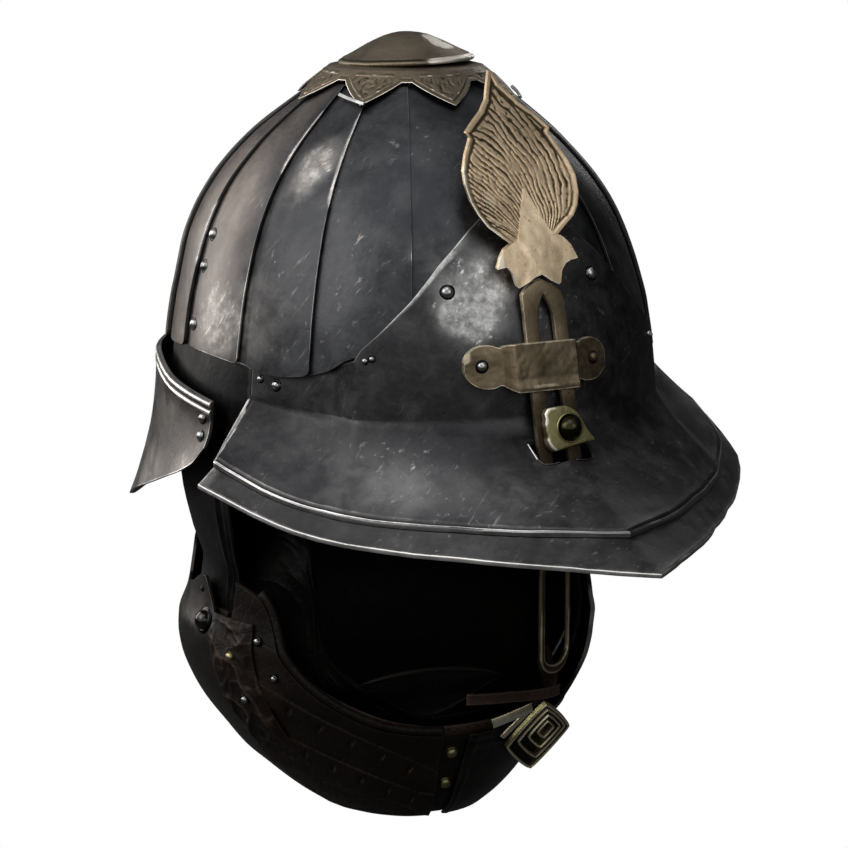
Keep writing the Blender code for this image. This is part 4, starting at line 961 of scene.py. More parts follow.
def guard():
    half = [76, 76.3, 76.8, 77.5, 78.6, 80, 82, 84.5, 87, 90, 93.5, 97, 101, 105, 109, 113, 117, 121, 124, 127.5, 131,
            134.5, 138, 141.5, 145, 148.5, 152, 156, 160, 165, 170, 175]
    us = half + [180] + [360 - a for a in reversed(half)]
    outer, inner, marks = [], [], []
    for ph in us:
        f = min(ph, 360 - ph)
        zt, zb, fl = smooth(NECK_GUARD, f, 1), smooth(NECK_GUARD, f, 2), smooth(NECK_GUARD, f, 3)
        co, ci, cm = [], [], []
        for k, (dz, bulge) in enumerate(LIP):
            co.append(skull(ph, zt + dz, 0.4 + bulge))
            ci.append(skull(ph, zt + dz, 0.4))
            # the hollow between the two lip beads is painted dark as shade and the bead tops bright as glints, less so
            # toward the back
            cm.append({"groove_and_shade": 0.95 if k in (7, 8, 9) else 0.0,
                       "wear": (1.0 if k in (3, 4, 5, 11, 12, 13) else 0.2) * (1 - 0.6 * ease(ph, 100, 125))})
        for s in (0.06, 0.13, 0.21, 0.30, 0.39, 0.48, 0.57, 0.66, 0.74, 0.82, 0.88, 0.93, 0.965, 0.985, 1.0):
            z = mix(zt - 6.6, zb, s)
            k = 0.4 + (fl - 0.4) * s ** 2.0
            k += dent(skull(ph, z), 0.25) * ease(s, 0, 0.2)
            co.append(skull(ph, z, k + 1.6 + 0.3 * (1 - ease(s, 0, 0.1))))
            ci.append(skull(ph, z, k))
            cm.append({"groove_and_shade": 0.0, "wear": wear_and_glint_at(co[-1])})
        outer.append(co)
        inner.append(ci)
        marks.append(cm)
    ob = slab("neck_plate", outer, inner, STEEL_GUARD, ["neck_guard"], bevel=0.35, reach=1.0,
              extra=lambda i, j: marks[i][j])
    # the bead tops' edges are painted bright as glints
    layer = ob.data.attributes["edge"]
    for i in range(len(outer)):
        for j in (3, 4, 5, 11, 12, 13):
            layer.data[i * len(outer[0]) + j].value = 1.0


guard()


def tail():
    outer, inner = [], []
    for ph in steps(142, 218, 44):
        f = min(ph, 360 - ph)
        zb, zt = smooth(NECK_GUARD, f, 2), smooth(NECK_GUARD, f, 1) - 5.4
        co, ci = [], []
        for v in span(16):
            z = mix(-18.0, -61.0 + 9.0 * abs(f - 180) / 38.0 * 0.6, v)
            s = min(1.25, max(0.0, (z - zt) / (zb - zt)))
            k = 0.4 + (smooth(NECK_GUARD, f, 3) - 0.4) * s ** 2.0 + 1.6 + GAP + 0.3
            co.append(skull(ph, z, k + 1.6))
            ci.append(skull(ph, z, k + 0.2))
        outer.append(co)
        inner.append(ci)
    slab("neck_tail", outer, inner, STEEL_DARK, ["neck_guard_tail"], bevel=0.3, reach=1.0)


tail()

# ---------------------------------------------------------------- nasal


def bar_y(z):
    return NASAL_FRONT_Y - (NASAL_REF_Z - z) * NASAL_LEAN


def leaf_y(z):
    return smooth(LEAF_LINE, z)


def leaf():
    zs = [139.0, 138.7, 138.2] + steps(137.6, 75.4, 190) + [75.0, 74.6]
    ts = [0, 0.012, 0.03] + steps(0.05, 0.95, 136) + [0.97, 0.988, 1.0]
    outer, inner, marks = [], [], []
    for z in zs:
        xl, xr = look(LEAF_LEFT, z), look(LEAF_RIGHT, z)
        e = 0.25
        sl = (look(LEAF_LEFT, z + e) - look(LEAF_LEFT, z - e)) / (2 * e)
        sr = (look(LEAF_RIGHT, z + e) - look(LEAF_RIGHT, z - e)) / (2 * e)
        dl, dr = 1 / math.sqrt(1 + sl * sl), 1 / math.sqrt(1 + sr * sr)
        co, ci, cm = [], [], []
        for t in ts:
            x = mix(xl, xr, t)
            d = min((x - xl) * dl, (xr - x) * dr)
            rim = 0.30 * (1 - ease(d, 1.0, 1.7))
            moat = 0.50 * bell(d, 2.1, 0.5) * ease(z, 76, 84)
            # broken feather-like strokes that run down and over to the stem, steeper on the far side
            wander = 1.5 * noise.noise(Vector((x * 0.11, z * 0.11, 4))) + 0.35 * noise.noise(Vector((x * 0.5, z * 0.4, 2)))
            f = 26.0 * math.atan2(x - 0.5, z - 68.0) + 0.36 * (z - 75) + wander
            along = math.hypot(x - 0.5, z - 68.0)
            row = math.floor(f / 1.75)
            broken = noise.noise(Vector((along * 0.15 + row * 5.3, row * 1.7, 1)))
            stroke = max(0.0, math.sin(2 * math.pi * f / 1.75)) ** 1.2
            stem = 1 - ease(abs(x - 0.4) / max(0.6, 0.6 + (96 - z) * 0.42), 0.7, 1.1) if z < 97 else 0.0
            inside = ease(d, 1.9, 2.8) * (1 - stem) * (1 - ease(z, 131, 136))
            cut = stroke * max(0.0, min(1.0, 0.60 + 1.5 * broken)) * inside
            pit = max(0.0, noise.noise(Vector((x * 0.75, z * 0.75, 6))) - 0.18) * inside
            h = rim - moat * (1 - stem) - 0.52 * cut - 0.35 * pit
            co.append(Vector((x, leaf_y(z) - h * 0.9, z + 0.25 * h)))
            ci.append(Vector((x, leaf_y(z) + 1.5, z + 0.35)))
            cm.append({"groove_and_shade": min(1.0, 0.95 * cut + 0.85 * moat * (1 - stem) / 0.55 + 0.9 * pit
                                     + 0.30 * ease(z, 104, 122) + 0.10 * inside),
                       "wear": 0.85 * (1 - ease(d, 0.8, 1.7)) * (1 - ease(x, -18, -6)) * (1 - ease(z, 100, 112))
                       + 0.45 * inside * bell(x, -17, 7) * (1 - ease(z, 92, 106)) * (1 - cut)})
        outer.append(co)
        inner.append(ci)
        marks.append(cm)
    slab("nasal_finial", outer, inner, BRASS, ["nasal_leaf"], bevel=0.22, reach=1.1,
         extra=lambda i, j: marks[i][j], body="nasal", worn_and_lit=False, rims=(0, 0, 0, 0))


leaf()


def star():
    xs = [-19.1, -18.7, -18.0] + steps(-17.2, 15.6, 82) + [16.3, 16.8, 17.2]
    outer, inner, marks = [], [], []
    for x in xs:
        za, zb = look(STAR_LOW, x), look(STAR_TOP, x)
        co, ci, cm = [], [], []
        for t in span(30, (0.012, 0.03, 0.06)):
            z = mix(za, zb, t)
            low = 1 - ease(z, 73, 84)
            cr = 0.6 * bell(x, -1, 9) * low + 0.16 * noise.noise(Vector((x * 0.25, z * 0.25, 3)))
            y = leaf_y(z) - 0.15 - 0.6 * low - cr
            co.append(Vector((x, y, z)))
            ci.append(Vector((x, leaf_y(z) + 1.35, z + 0.3)))
            cm.append({"groove_and_shade": 0.25 * max(0.0, noise.noise(Vector((x * 0.8, z * 0.8, 9)))),
                       "wear": 0.95 * (1 - ease(x, -17.2, -14.2)) + 0.3 * bell(x, -6, 2.5) * ease(z, 78, 84)})
        outer.append(co)
        inner.append(ci)
        marks.append(cm)
    slab("nasal_star", outer, inner, BRASS_STAR, ["nasal_leaf"], bevel=0.4, reach=0.8, body="nasal", worn_and_lit=False,
         extra=lambda i, j: marks[i][j], seg=3, rims=(0, 0, 1, 0))


star()


def bar():
    w, g = 9.5, 3.6
    # outline and slot as two closed loops with equal counts, joined by quads
    out_pts = [(-w, -37.0), (-w + 1.4, -40.4), (-w + 5, -42.0), (w - 5, -42.0), (w - 1.4, -40.4), (w, -37.0)]
    out_pts += [(w, z) for z in steps(-30, 50, 16)] + [(w - 0.2, 54.0), (w - 1.6, 57.2), (5.0, 59.2), (2.5, 60.4),
                                                      (-0.3, 61.8), (-3.3, 60.8), (-6.5, 59.2), (-w + 0.9, 57.4),
                                                      (-w, 56.0)]
    out_pts += [(-w, z) for z in steps(50, -30, 16)]
    hole = [(-g, -29.0), (-g + 0.8, -30.0), (-g + 2, -30.4), (g - 2, -30.4), (g - 0.8, -30.0), (g, -29.0)]
    hole += [(g, z) for z in steps(-25, 45, 16)] + [(g - 0.1, 47.2), (g - 0.5, 49.4), (g - 1.3, 51.6), (1.0, 54.2),
                                                   (0.0, 55.8), (-1.0, 54.2), (-g + 1.3, 51.6), (-g + 0.5, 49.4),
                                                   (-g + 0.1, 47.2)]
    hole += [(-g, z) for z in steps(45, -25, 16)]
    n = len(out_pts)
    mids = [[(mix(a[0], b[0], t), mix(a[1], b[1], t)) for a, b in zip(out_pts, hole)] for t in (0.08, 0.5, 0.92)]
    loops = [out_pts] + mids + [hole]
    verts, faces, edge, groove_and_shade, wear = [], [], [], [], []
    for back in (0, 1):
        for k, loop in enumerate(loops):
            for x, z in loop:
                crown_h = (0.0, 0.25, 0.55, 0.25, 0.0)[k] if not back else 0.0
                verts.append(Vector((x, bar_y(z) + (2.8 if back else 0.5) - crown_h, z)))
                edge.append(0.65 if k in (0, 4) else 0.0)
                # the lower part of the bar is painted darker as the shadow under the peak
                groove_and_shade.append(0.62 * (1 - ease(z, 12, 24)) + 0.12)
                wear.append(0.0)
    m = n * len(loops)
    for back in (0, 1):
        for k in range(len(loops) - 1):
            for i in range(n):
                j = (i + 1) % n
                q = [k * n + i, k * n + j, (k + 1) * n + j, (k + 1) * n + i]
                faces.append([back * m + v for v in (q if not back else reversed(q))])
    for k in (0, len(loops) - 1):
        for i in range(n):
            j = (i + 1) % n
            faces.append([k * n + i, k * n + j, m + k * n + j, m + k * n + i])
    piece("nasal_fork", verts, faces, BRASS_DARK, ["nasal_bar"], "nasal",
          {"edge": edge, "groove_and_shade": groove_and_shade, "wear": wear}, 0.3)


bar()


BRACKET_X = -3.0


def bracket():
    xs = [-31.2, -31.0, -30.6] + steps(-30.0, 30.0, 84) + [30.6, 31.0, 31.2]
    outer, inner, marks = [], [], []
    for x in xs:
        f = abs(x)
        h = mix(9.2, 8.4 if f < 23 else max(1.2, math.sqrt(max(0.0, 8.4 ** 2 - (f - 23.0) ** 2))), ease(f, 13.5, 18.0))
        h -= 1.2 * bell(f, 17.0, 2.2)
        phs = math.degrees(math.asin((x + BRACKET_X) / 120.0))
        co, ci, cm = [], [], []
        for s in [-1, -0.985, -0.95, -0.9] + steps(-0.82, 0.82, 20) + [0.9, 0.95, 0.985, 1]:
            z = 29.0 + h * s
            seat = skull(phs, z, 2.35)
            lift = 1 - ease(f, 13.4, 16.2)
            y_in = mix(seat.y, bar_y(z) - 0.5, lift)
            lump = 0.30 * noise.noise(Vector((x * 0.14, z * 0.17, 5))) + 0.14 * noise.noise(Vector((x * 0.5, z * 0.5, 8)))
            lump += 0.35 * bell(s, -0.80, 0.13) * lift - 0.25 * bell(s, -0.5, 0.15) * lift
            co.append(Vector((x + BRACKET_X, y_in - 1.75 - lump, z)))
            ci.append(Vector((x + BRACKET_X, y_in, z)))
            cm.append({"groove_and_shade": 0.45 * bell(f, 15.6, 1.0) + 0.35 * max(0.0, noise.noise(Vector((x * 0.3, z * 0.3, 2)))),
                       "wear": 0.75 * bell(s, -0.80, 0.1) * lift * bell(x, -2, 9)
                       + 0.9 * (1 - ease(x, -30, -27)) * ease(s, 0, 0.6)})
        outer.append(co)
        inner.append(ci)
        marks.append(cm)
    slab("nasal_saddle", outer, inner, BRASS_DARK, ["nasal_bracket"], bevel=0.4, reach=0.8,
         extra=lambda i, j: marks[i][j], worn_and_lit=False, seg=3)


bracket()

for side, tag in ((-1, "r"), (1, "l")):
    ph = math.degrees(math.asin((side * 24.0 + BRACKET_X) / 120.0))
    rivet("saddle_rivet_" + tag, lambda a, b: skull(a, b, 0), ph, 29.4, 4.2, 1.9, 1.5,
          STEEL_RIVET if side < 0 else BRASS_DARK, ["rivet_bracket_" + tag])

# clamp: teardrop washer with a domed stud in a turned seat
WASHER = ((-9.4, 7.9), (-8.4, 8.5), (-7.0, 8.6), (-4.0, 8.9), (-1.1, 9.0), (1.3, 8.2), (3.3, 6.8), (4.8, 5.2),
          (5.9, 3.3), (6.9, 1.3), (7.9, -0.7), (9.5, -3.2), (11.0, -5.3), (11.2, -5.9), (10.4, -6.1), (7.0, -6.3),
          (3.8, -6.7), (0.4, -7.3), (-3.1, -7.9), (-5.5, -8.4), (-7.5, -8.5), (-8.9, -7.4), (-10.0, -5.6),
          (-10.3, -3.8), (-10.0, -2.0), (-10.5, -0.2), (-10.5, 2.8), (-10.1, 4.4), (-10.3, 6.2))
wash_x, wash_z = 3.0, 4.4
wash_y = bar_y(wash_z) - 0.4
tilt = Matrix.Rotation(math.radians(-13.6), 3, "X")
wv, we, ww = [], [], []
n = len(WASHER)
for k, (shrink, depth) in enumerate(((1.0, 0.0), (1.0, -3.0), (0.97, -3.4), (0.82, -3.5), (0.0, -3.5))):
    if shrink == 0.0:
        wv.append(Vector((wash_x, wash_y, wash_z)) + tilt @ Vector((0, depth, 0)))
        we.append(0.0)
        ww.append(0.0)
        continue
    for u, w in WASHER:
        wv.append(Vector((wash_x, wash_y, wash_z)) + tilt @ Vector((u * shrink, depth, w * shrink)))
        glint = 1.0 if u < -6.5 and (w > 1.5 or w < -3.0) else 0.0
        we.append(0.95 * glint if k in (0, 1, 2) else 0.0)
        ww.append(glint if k < 3 else 0.0)
wf = [list(range(n))]
for k in range(3):
    wf += [[k * n + i, k * n + (i + 1) % n, (k + 1) * n + (i + 1) % n, (k + 1) * n + i] for i in range(n)]
wf += [[3 * n + i, 3 * n + (i + 1) % n, 4 * n] for i in range(n)]
piece("nasal_plate", wv, wf, BRASS_GOLD, ["nasal_washer"], attrs={"edge": we, "wear": ww}, bevel=0.2)
dirn = Vector((0, -1, NASAL_LEAN)).normalized()
seat_at = Vector((wash_x, wash_y, wash_z)) + dirn * 3.45
turned("nasal_stud_seat", seat_at, dirn, ((6.0, -0.2), (6.0, 0.25), (5.7, 0.5), (5.3, 0.35), (5.1, 0.1), (0.0, 0.1)),
       BRASS_GOLD, (), sides=40, attrs_of=lambda k: (0.0, 0.9) if k >= 3 else (0.0, 0.3))
turned("nasal_stud_head", seat_at, dirn, ((4.7, 0.0), (4.75, 0.6), (4.5, 1.6), (4.0, 2.7), (3.3, 3.6), (2.5, 4.3),
                                          (1.6, 4.8), (0.7, 5.05), (0.0, 5.1)),
       STUD_DARK, ["nasal_stud"], sides=40)

# lip of the hole for the bar; the piece on the wearer's right is bright rivet steel as a painted glint
lip = [(-12.9, -138.2), (-12.9, -134.0), (-12.9, -129.6)]
for k, pts in enumerate((lip, [(-12.9, -138.2), (-11.6, -140.9), (-8.2, -141.9), (-5.2, -142.0)],
                         [(2.0, -142.0), (7.2, -141.9), (10.2, -140.9), (11.4, -138.2)])):
    rows = []
    for (xa, ya), (xb, yb) in zip(pts, pts[1:]):
        for s in steps(0, 1, 5)[:-1]:
            rows.append((mix(xa, xb, s), mix(ya, yb, s)))
    rows.append(pts[-1])
    line = []
    for x, y in rows:
        ph = math.degrees(math.atan2(x, -y))
        r = math.hypot(x, y)
        zc, share = crease_z(ph), look(PEAK, abs(ph), 3)
        r0 = skull_r(ph, zc, plate_off(ph))
        s = (r - r0) / (look(PEAK, abs(ph), 1) - r0)
        line.append(flare(ph, s, 1.75))
    tube("slot_lip_%d" % (k + 1), frames(line, lambda i, p: Vector((0, -0.35, 1))), ring(0.42, 8), STEEL_RIVET if k == 0 else STEEL_BROW, (),
         attrs={"edge": [0.0] * (len(line) * 8)})

# ---------------------------------------------------------------- cheek plates


def cheek_plates():
    zs = [-1, -1.4, -2.2, -4, -7, -10, -15, -20, -25, -30, -35, -41, -46, -52, -57, -63, -68, -72, -76, -80, -84, -88,
          -92.5, -97, -101, -105, -109, -113, -117, -121, -124.5, -128, -130.5, -132, -132.6, -133]
    for side, tag in ((-1, "r"), (1, "l")):
        outer, inner, marks = [], [], []
        for z in zs:
            a0, a1 = look(CHEEK_EDGE, z, 1), look(CHEEK_EDGE, z, 2)
            co, ci, cm = [], [], []
            for t in span(46, (0.006, 0.016, 0.03)):
                f = mix(a0, a1, t)
                d = (f - a0) * 1.55
                # two long ribs along the front edge that fade out low down
                k = ease(-z, 8, 16) * (1 - ease(-z, 112, 118))
                rib = (bell(d, 2.8, 0.75) + bell(d, 7.6, 0.85)) * k
                rib = min(rib, 1.0)
                hollow = bell(d, 5.2, 1.2) * k
                co.append(form(CHEEK, side * f, z, 0.95 * rib - 0.25 * hollow))
                ci.append(form(CHEEK, side * f, z, -SHEET))
                cm.append({"groove_and_shade": 0.55 * hollow, "wear": 0.42 * rib})
            outer.append(co)
            inner.append(ci)
            marks.append(cm)
        slab("side_plate_" + tag, outer, inner, STEEL_DARK, ["cheek_plate_" + tag], bevel=0.3, reach=0.9,
             extra=lambda i, j: marks[i][j], worn_and_lit=False)


cheek_plates()

# ---------------------------------------------------------------- collar


def back_top(phi):
    return look(BACK_TOP_LEFT, phi) if phi < 180 else look(BACK_TOP, 360 - phi)


def throat_top(phi):
    return smooth(THROAT_RIM, phi)


def shell(name, point, us, vs, thick, mat, nodes, bevel=0.35, reach=0.9, extra=None, rims=(1, 1, 1, 1)):
    outer = [[point(u, v, 0.0) for v in vs] for u in us]
    inner = [[point(u, v, -thick) for v in vs] for u in us]
    fn = (lambda i, j: extra(us[i], vs[j])) if extra else None
    return slab(name, outer, inner, mat, nodes, bevel=bevel, reach=reach, extra=fn, rims=rims, worn_and_lit=False)


def bound(a, b, n):
    return [mix(a, b, t) for t in span(n, (0.002, 0.006, 0.014))]


shell("collar_plate", lambda u, v, off: collar(u, mix(back_top(u), COLLAR_FOOT, v), off + dent(collar(u, mix(back_top(u), COLLAR_FOOT, v)), 0.25)),
      bound(67.0, 283.0, 132), span(46, (0.003, 0.008, 0.018)), SHEET, STEEL_COLLAR, ["collar_back"], reach=1.0,
      extra=lambda u, v: {"groove_and_shade": 0.0, "wear": 0.0})


def lining_line(d):
    return sum(bell(d, c, w) * h for c, w, h in ((1.2, 1.1, 0.9), (7.5, 1.0, 0.7), (10.5, 0.8, 0.5), (17, 1.1, 0.6),
                                                 (26, 1.2, 0.5)))


shell("collar_inside", lambda u, v, off: collar(u, mix(-93.0, -172.0, v), -SHEET - 1.9 + off),
      bound(70.0, 280.0, 70), span(24), 1.5, LEATHER_BROWN, ["collar_lining"])


def throat():
    """The leather throat plate with two raised slanting bands and a row of slots along them; the slots are painted dark
    as shade, with painted highlight crescents beside them and along the bands' edges.
    """
    def relief(u, z):
        line = (z + 141.5) - 0.62 * (u + 75.0) * -1.0
        b1 = 1 - ease(abs(z - (-139.0 - 0.62 * (u + 75))), 5.0, 6.4)
        b2 = 1 - ease(abs(z - (-156.5 - 0.30 * (u + 75))), 3.8, 5.0)
        b3 = 1 - ease(abs(z - (-112.0 - 0.80 * (u + 75))), 4.6, 6.0)
        return max(b1, b2, b3)

    def slots(u, z, aside=0.0):
        s = 0.0
        for k in range(7):
            cu = -71 + 8.6 * k
            for c0, slope in ((-139.0, 0.62), (-112.0, 0.80)):
                cz = c0 - slope * (cu + 75)
                du, dz = (u - cu) * 1.35, z - cz
                along = du * 0.55 + dz * 0.83
                across = du * 0.83 - dz * 0.55
                s = max(s, bell(along, 0, 2.6) * bell(across, aside, 0.75 if not aside else 0.5))
        return s

    def point(u, v, off):
        z = mix(throat_top(u), COLLAR_FOOT, v)
        if off < 0:
            return collar(u, z, off + 0.2)
        p = collar(u, z)
        return collar(u, z, 0.15 + 0.95 * relief(u, z) - 0.9 * slots(u, z) + 0.35 * noise.noise(p * 0.10))

    def extra(u, v):
        z = mix(throat_top(u), COLLAR_FOOT, v)
        r = relief(u, z)
        return {"groove_and_shade": min(1.0, slots(u, z) * 1.1), "wear": 0.45 * bell(r, 0.5, 0.28) + 1.1 * slots(u, z, 1.15)}

    shell("throat_plate", point, bound(-75.4, -9.4, 90), span(74, (0.004, 0.012, 0.024)), 2.0, LEATHER_BROWN,
          ["collar_front"], bevel=0.4, extra=extra)


throat()
shell("throat_strip", lambda u, v, off: collar(u, mix(throat_top(u) - 2, COLLAR_FOOT + 1, v), -2.6 + off
                                               + (0.5 * math.sin(v * 22) ** 2 if off == 0 else 0)),
      bound(-12.5, 3.5, 16), span(30), 1.6, LEATHER, ["closure_strip"])


def throat_plate_l():
    def point(u, v, off):
        z = mix(throat_top(u), COLLAR_FOOT, v)
        if off < 0:
            return collar(u, z, off)
        fluted = 0.55 * bell(-141.0 - z, 2.0, 1.4) + 0.4 * bell(-141.0 - z, 7.0, 0.9)
        edge_bead = 0.6 * bell(u, 1.2, 1.0)
        return collar(u, z, fluted + edge_bead + dent(collar(u, z), 0.2))

    shell("throat_steel", point, bound(-1.0, 66.4, 96), span(34, (0.006, 0.016, 0.034)), 2.0, STEEL_COLLAR,
          ["closure_plate"], bevel=0.4, reach=0.8,
          extra=lambda u, v: {"groove_and_shade": 0.6 * bell(-141.0 - mix(throat_top(u), COLLAR_FOOT, v), 4.6, 0.9), "wear": 0.0})


throat_plate_l()

rim_pts = []
for ph in steps(-66, -9.6, 64):
    a, b = (collar(x, throat_top(x), -1.0) for x in (ph - 0.5, ph + 0.5))
    o = Vector((a.x, a.y - 15, 0)).normalized()
    up = o.cross((b - a).normalized())
    rim_pts.append((a + b) / 2 + up.normalized() * (2.3 if up.z > 0 else -2.3))
tube("throat_rim", frames(rim_pts, lambda i, p: Vector((p.x, p.y - 15, 0)).normalized()), ring(1.85, 16),
     LEATHER_BROWN, ["collar_rim"])

for i, z in enumerate((-150.0, -166.0)):
    rivet("closure_pin_%d" % (i + 1), lambda a, b: collar(a, b, 0), -5.2, z, -2.4, 2.7, 2.6, BRASS_GOLD,
          ["closure_stud_%d" % (i + 1)])
for side, tag in ((-1, "r"), (1, "l")):
    rivet("collar_boss_" + tag, lambda a, b: collar(a, b, 0), side * 87.5, -98.5, 0.5, 4.3, 3.6, STEEL_KNOB,
          ["collar_stud_" + tag])
    rivet("collar_pin_" + tag, lambda a, b: collar(a, b, 0), side * 93.7, -86.5, 0.0, 1.2, 0.7, STEEL_DARK, ())

# ---------------------------------------------------------------- inside and chin


def lining_top(u):
    return smooth(LINING_TOP, u)


shell("face_leather",
      lambda u, v, off: form(COLLAR, u, mix(lining_top(u), -150.0, v), off - 11.0
                             - 6.5 * ease(-mix(lining_top(u), -150.0, v), 117.0, 129.0)
                             + (1.4 * lining_line(lining_top(u) - mix(lining_top(u), -150.0, v)) - 0.4 if off == 0 else 0)),
      bound(-86, 34, 80), span(60, (0.006, 0.014, 0.026)), 2.0, LINING_SHADED, ["face_lining"],
      extra=lambda u, v: {"groove_and_shade": 0.0, "wear": 0.35 * lining_line(lining_top(u) - mix(lining_top(u), -150.0, v))})

n_out = lambda phi, z: (collar(phi + 0.5, z) - collar(phi - 0.5, z)).cross(collar(phi, z + 0.5) - collar(phi, z - 0.5)).normalized()
strap_phi = steps(STRAP[0][0], STRAP[-1][0], 90)
fine = [form(COLLAR, a, smooth(STRAP, a, 1), smooth(STRAP, a, 2)) for a in strap_phi]
belt = [(-5.0, 0.2), (-4.8, 0.62), (-4.1, 0.8), (-3.6, 0.55), (-3.1, 0.78), (0, 0.95), (3.1, 0.78), (3.6, 0.55),
        (4.1, 0.8), (4.8, 0.62), (5.0, 0.2), (5.0, -0.4), (4.8, -0.75), (-4.8, -0.75), (-5.0, -0.4)]
tube("chin_belt", frames(fine, lambda i, p: n_out(strap_phi[i], smooth(STRAP, strap_phi[i], 1))), belt,
     LEATHER_BELT, ["chin_strap"],
     attrs={"wear": [0.9 if k in (3, 7) and i % 2 else 0.0 for i in range(91) for k in range(15)]})

cup_o, cup_i, cup_m = [], [], []
for t in [0.004] + steps(0.02, 0.98, 44) + [0.996]:
    ph = mix(-36.0, 14.0, t)
    h = 13.0 * math.sin(math.pi * t) ** 0.8 + 0.6
    mid = -121.0 - 4.0 * math.sin(math.pi * t)
    co, ci, cm = [], [], []
    for s in [-1, -0.97, -0.92] + steps(-0.84, 0.84, 18) + [0.92, 0.97, 1]:
        z = mid + h * s
        fold = 0.6 * bell(s + 1.2 * (t - 0.5), 0.15, 0.10) + 0.5 * bell(s + 1.1 * (t - 0.5), -0.35, 0.12)
        lip = 0.9 * bell(abs(s), 0.93, 0.08)
        d = -16.5 - 2.6 * (1 - s * s) * math.sin(math.pi * t) + 1.2 * s - 6.5 * ease(-z, 117.0, 129.0)
        co.append(form(COLLAR, ph, z, d + lip + fold))
        ci.append(form(COLLAR, ph, z, d - 2.0))
        cm.append({"groove_and_shade": 0.0, "wear": 0.55 * lip})
    cup_o.append(co)
    cup_i.append(ci)
    cup_m.append(cm)
slab("chin_dish", cup_o, cup_i, LEATHER, ["chin_cup"], bevel=0.3, worn_and_lit=False, extra=lambda i, j: cup_m[i][j])

# brace: flat U strap; its rolled edges are painted bright as highlight low down and its middle darker as shade
BRACE_SIDES = (61.0, 41.0)
BRACE_R = (77.0, 69.5)
brace = [(BRACE_SIDES[0], z) for z in steps(4, -120, 50)]
mid_a, wide = sum(BRACE_SIDES) / 2, (BRACE_SIDES[0] - BRACE_SIDES[1]) / 2
brace += [(mid_a + wide * math.cos(math.radians(a)), -120 - 7.5 * math.sin(math.radians(a))) for a in steps(10, 170, 24)]
brace += [(BRACE_SIDES[1], z) for z in steps(-120, 4, 50)]


def brace_pt(phi, z):
    low = polar(phi, mix(BRACE_R[1], BRACE_R[0], (phi - BRACE_SIDES[1]) / (BRACE_SIDES[0] - BRACE_SIDES[1])), z, 12.0)
    return low.lerp(skull(phi, z, -8.3), ease(z, -84.0, 0.0))


bp = [brace_pt(a, z) for a, z in brace]
b_rows = frames(bp, lambda i, p: Vector((p.x, p.y - 14, 0)).normalized())
flat = [(-2.0, 0.0), (-1.9, 0.8), (-1.35, 1.2), (-0.85, 0.6), (0.0, 0.5), (0.85, 0.6), (1.35, 1.2), (1.9, 0.8),
        (2.0, 0.0), (1.9, -0.8), (0.0, -1.1), (-1.9, -0.8)]
tube("face_brace", b_rows, flat, BRASS_DARK, ["brace_l"],
     attrs={"wear": [(1.0 if k in (1, 2, 6, 7) else 0.0) * ease(-p.z, 78, 122) for p, s, o in b_rows for k in range(12)],
            "groove_and_shade": [0.6 if k in (3, 4, 5) else 0.0 for p in b_rows for k in range(12)]})


# side clasp: crumpled leather with folds, over the joint of the collar's back and front; the ridges are painted bright
# as glints and the folds' hollows dark as shade
def clasp():
    us, vs = steps(-83.0, -66.0, 60), steps(0, 1, 120)
    outer, inner, marks = [], [], []
    for u in us:
        co, ci, cm = [], [], []
        for v in vs:
            ph, z = u + 10.0 * v, mix(-93.0, -150.0, v)
            p = collar(ph, z)
            q = Vector((p.x * 0.085, p.y * 0.085, p.z * 0.06))
            ridge = 1 - abs(noise.noise(q + Vector((3, 1, 2)))) * 2.6
            ridge2 = 1 - abs(noise.noise(q * 2.3 + Vector((1, 7, 2)))) * 2.6
            side = ease(u, -83, -80.5) * (1 - ease(u, -68.5, -66)) * ease(v, 0, 0.03) * (1 - ease(v, 0.97, 1))
            h = 1.5 + (1.6 * max(0.0, ridge) ** 1.6 + 0.7 * max(0.0, ridge2)) * side + 1.1 * side
            co.append(collar(ph, z, h))
            ci.append(collar(ph, z, GAP + 0.1))
            cm.append({"wear": 0.8 * max(0.0, ridge) ** 4 + 0.25 * max(0.0, ridge2) ** 4,
                       "groove_and_shade": 0.8 * (1 - ease(ridge, -0.6, 0.15))})
        outer.append(co)
        inner.append(ci)
        marks.append(cm)
    slab("side_clasp", outer, inner, LEATHER_BROWN, ["clasp_side"], bevel=0.0, reach=0.7, worn_and_lit=False,
         extra=lambda i, j: marks[i][j])


clasp()
for k, (a, z, r, m, off) in enumerate(((-69.8, -108.1, 1.9, BRASS_GOLD, 3.4), (-63.1, -99.6, 1.5, STEEL_RIVET, 0.8),
                                        (-56.4, -114.4, 1.4, STEEL_RIVET, 0.8), (-65.8, -126.7, 1.6, STEEL_RIVET, 3.6))):
    rivet("clasp_pin_%d" % (k + 1), lambda p, q: collar(p, q, 0), a, z, off, r, 1.5, m, ())


# rosette: nested rounded diamonds of folded brass strip
def diamond(scale, n=72, drop=0.0):
    pts = []
    for i in range(n):
        a = 2 * math.pi * i / n
        c, s = math.cos(a), math.sin(a)
        k = 1.0 / (abs(c) ** 1.12 + abs(s) ** 1.12) ** (1 / 1.12)
        pts.append((16.9 * scale * k * c + 0.35 * drop, 21.2 * scale * k * s + drop))
    return pts


ros_at = Vector((32.0, -59.6, -146.2))
ros_rot = (Matrix.Rotation(math.radians(3.4), 3, "Z") @ Matrix.Rotation(math.radians(-7.8), 3, "Y")
           @ Matrix.Rotation(math.radians(28.5), 3, "X"))


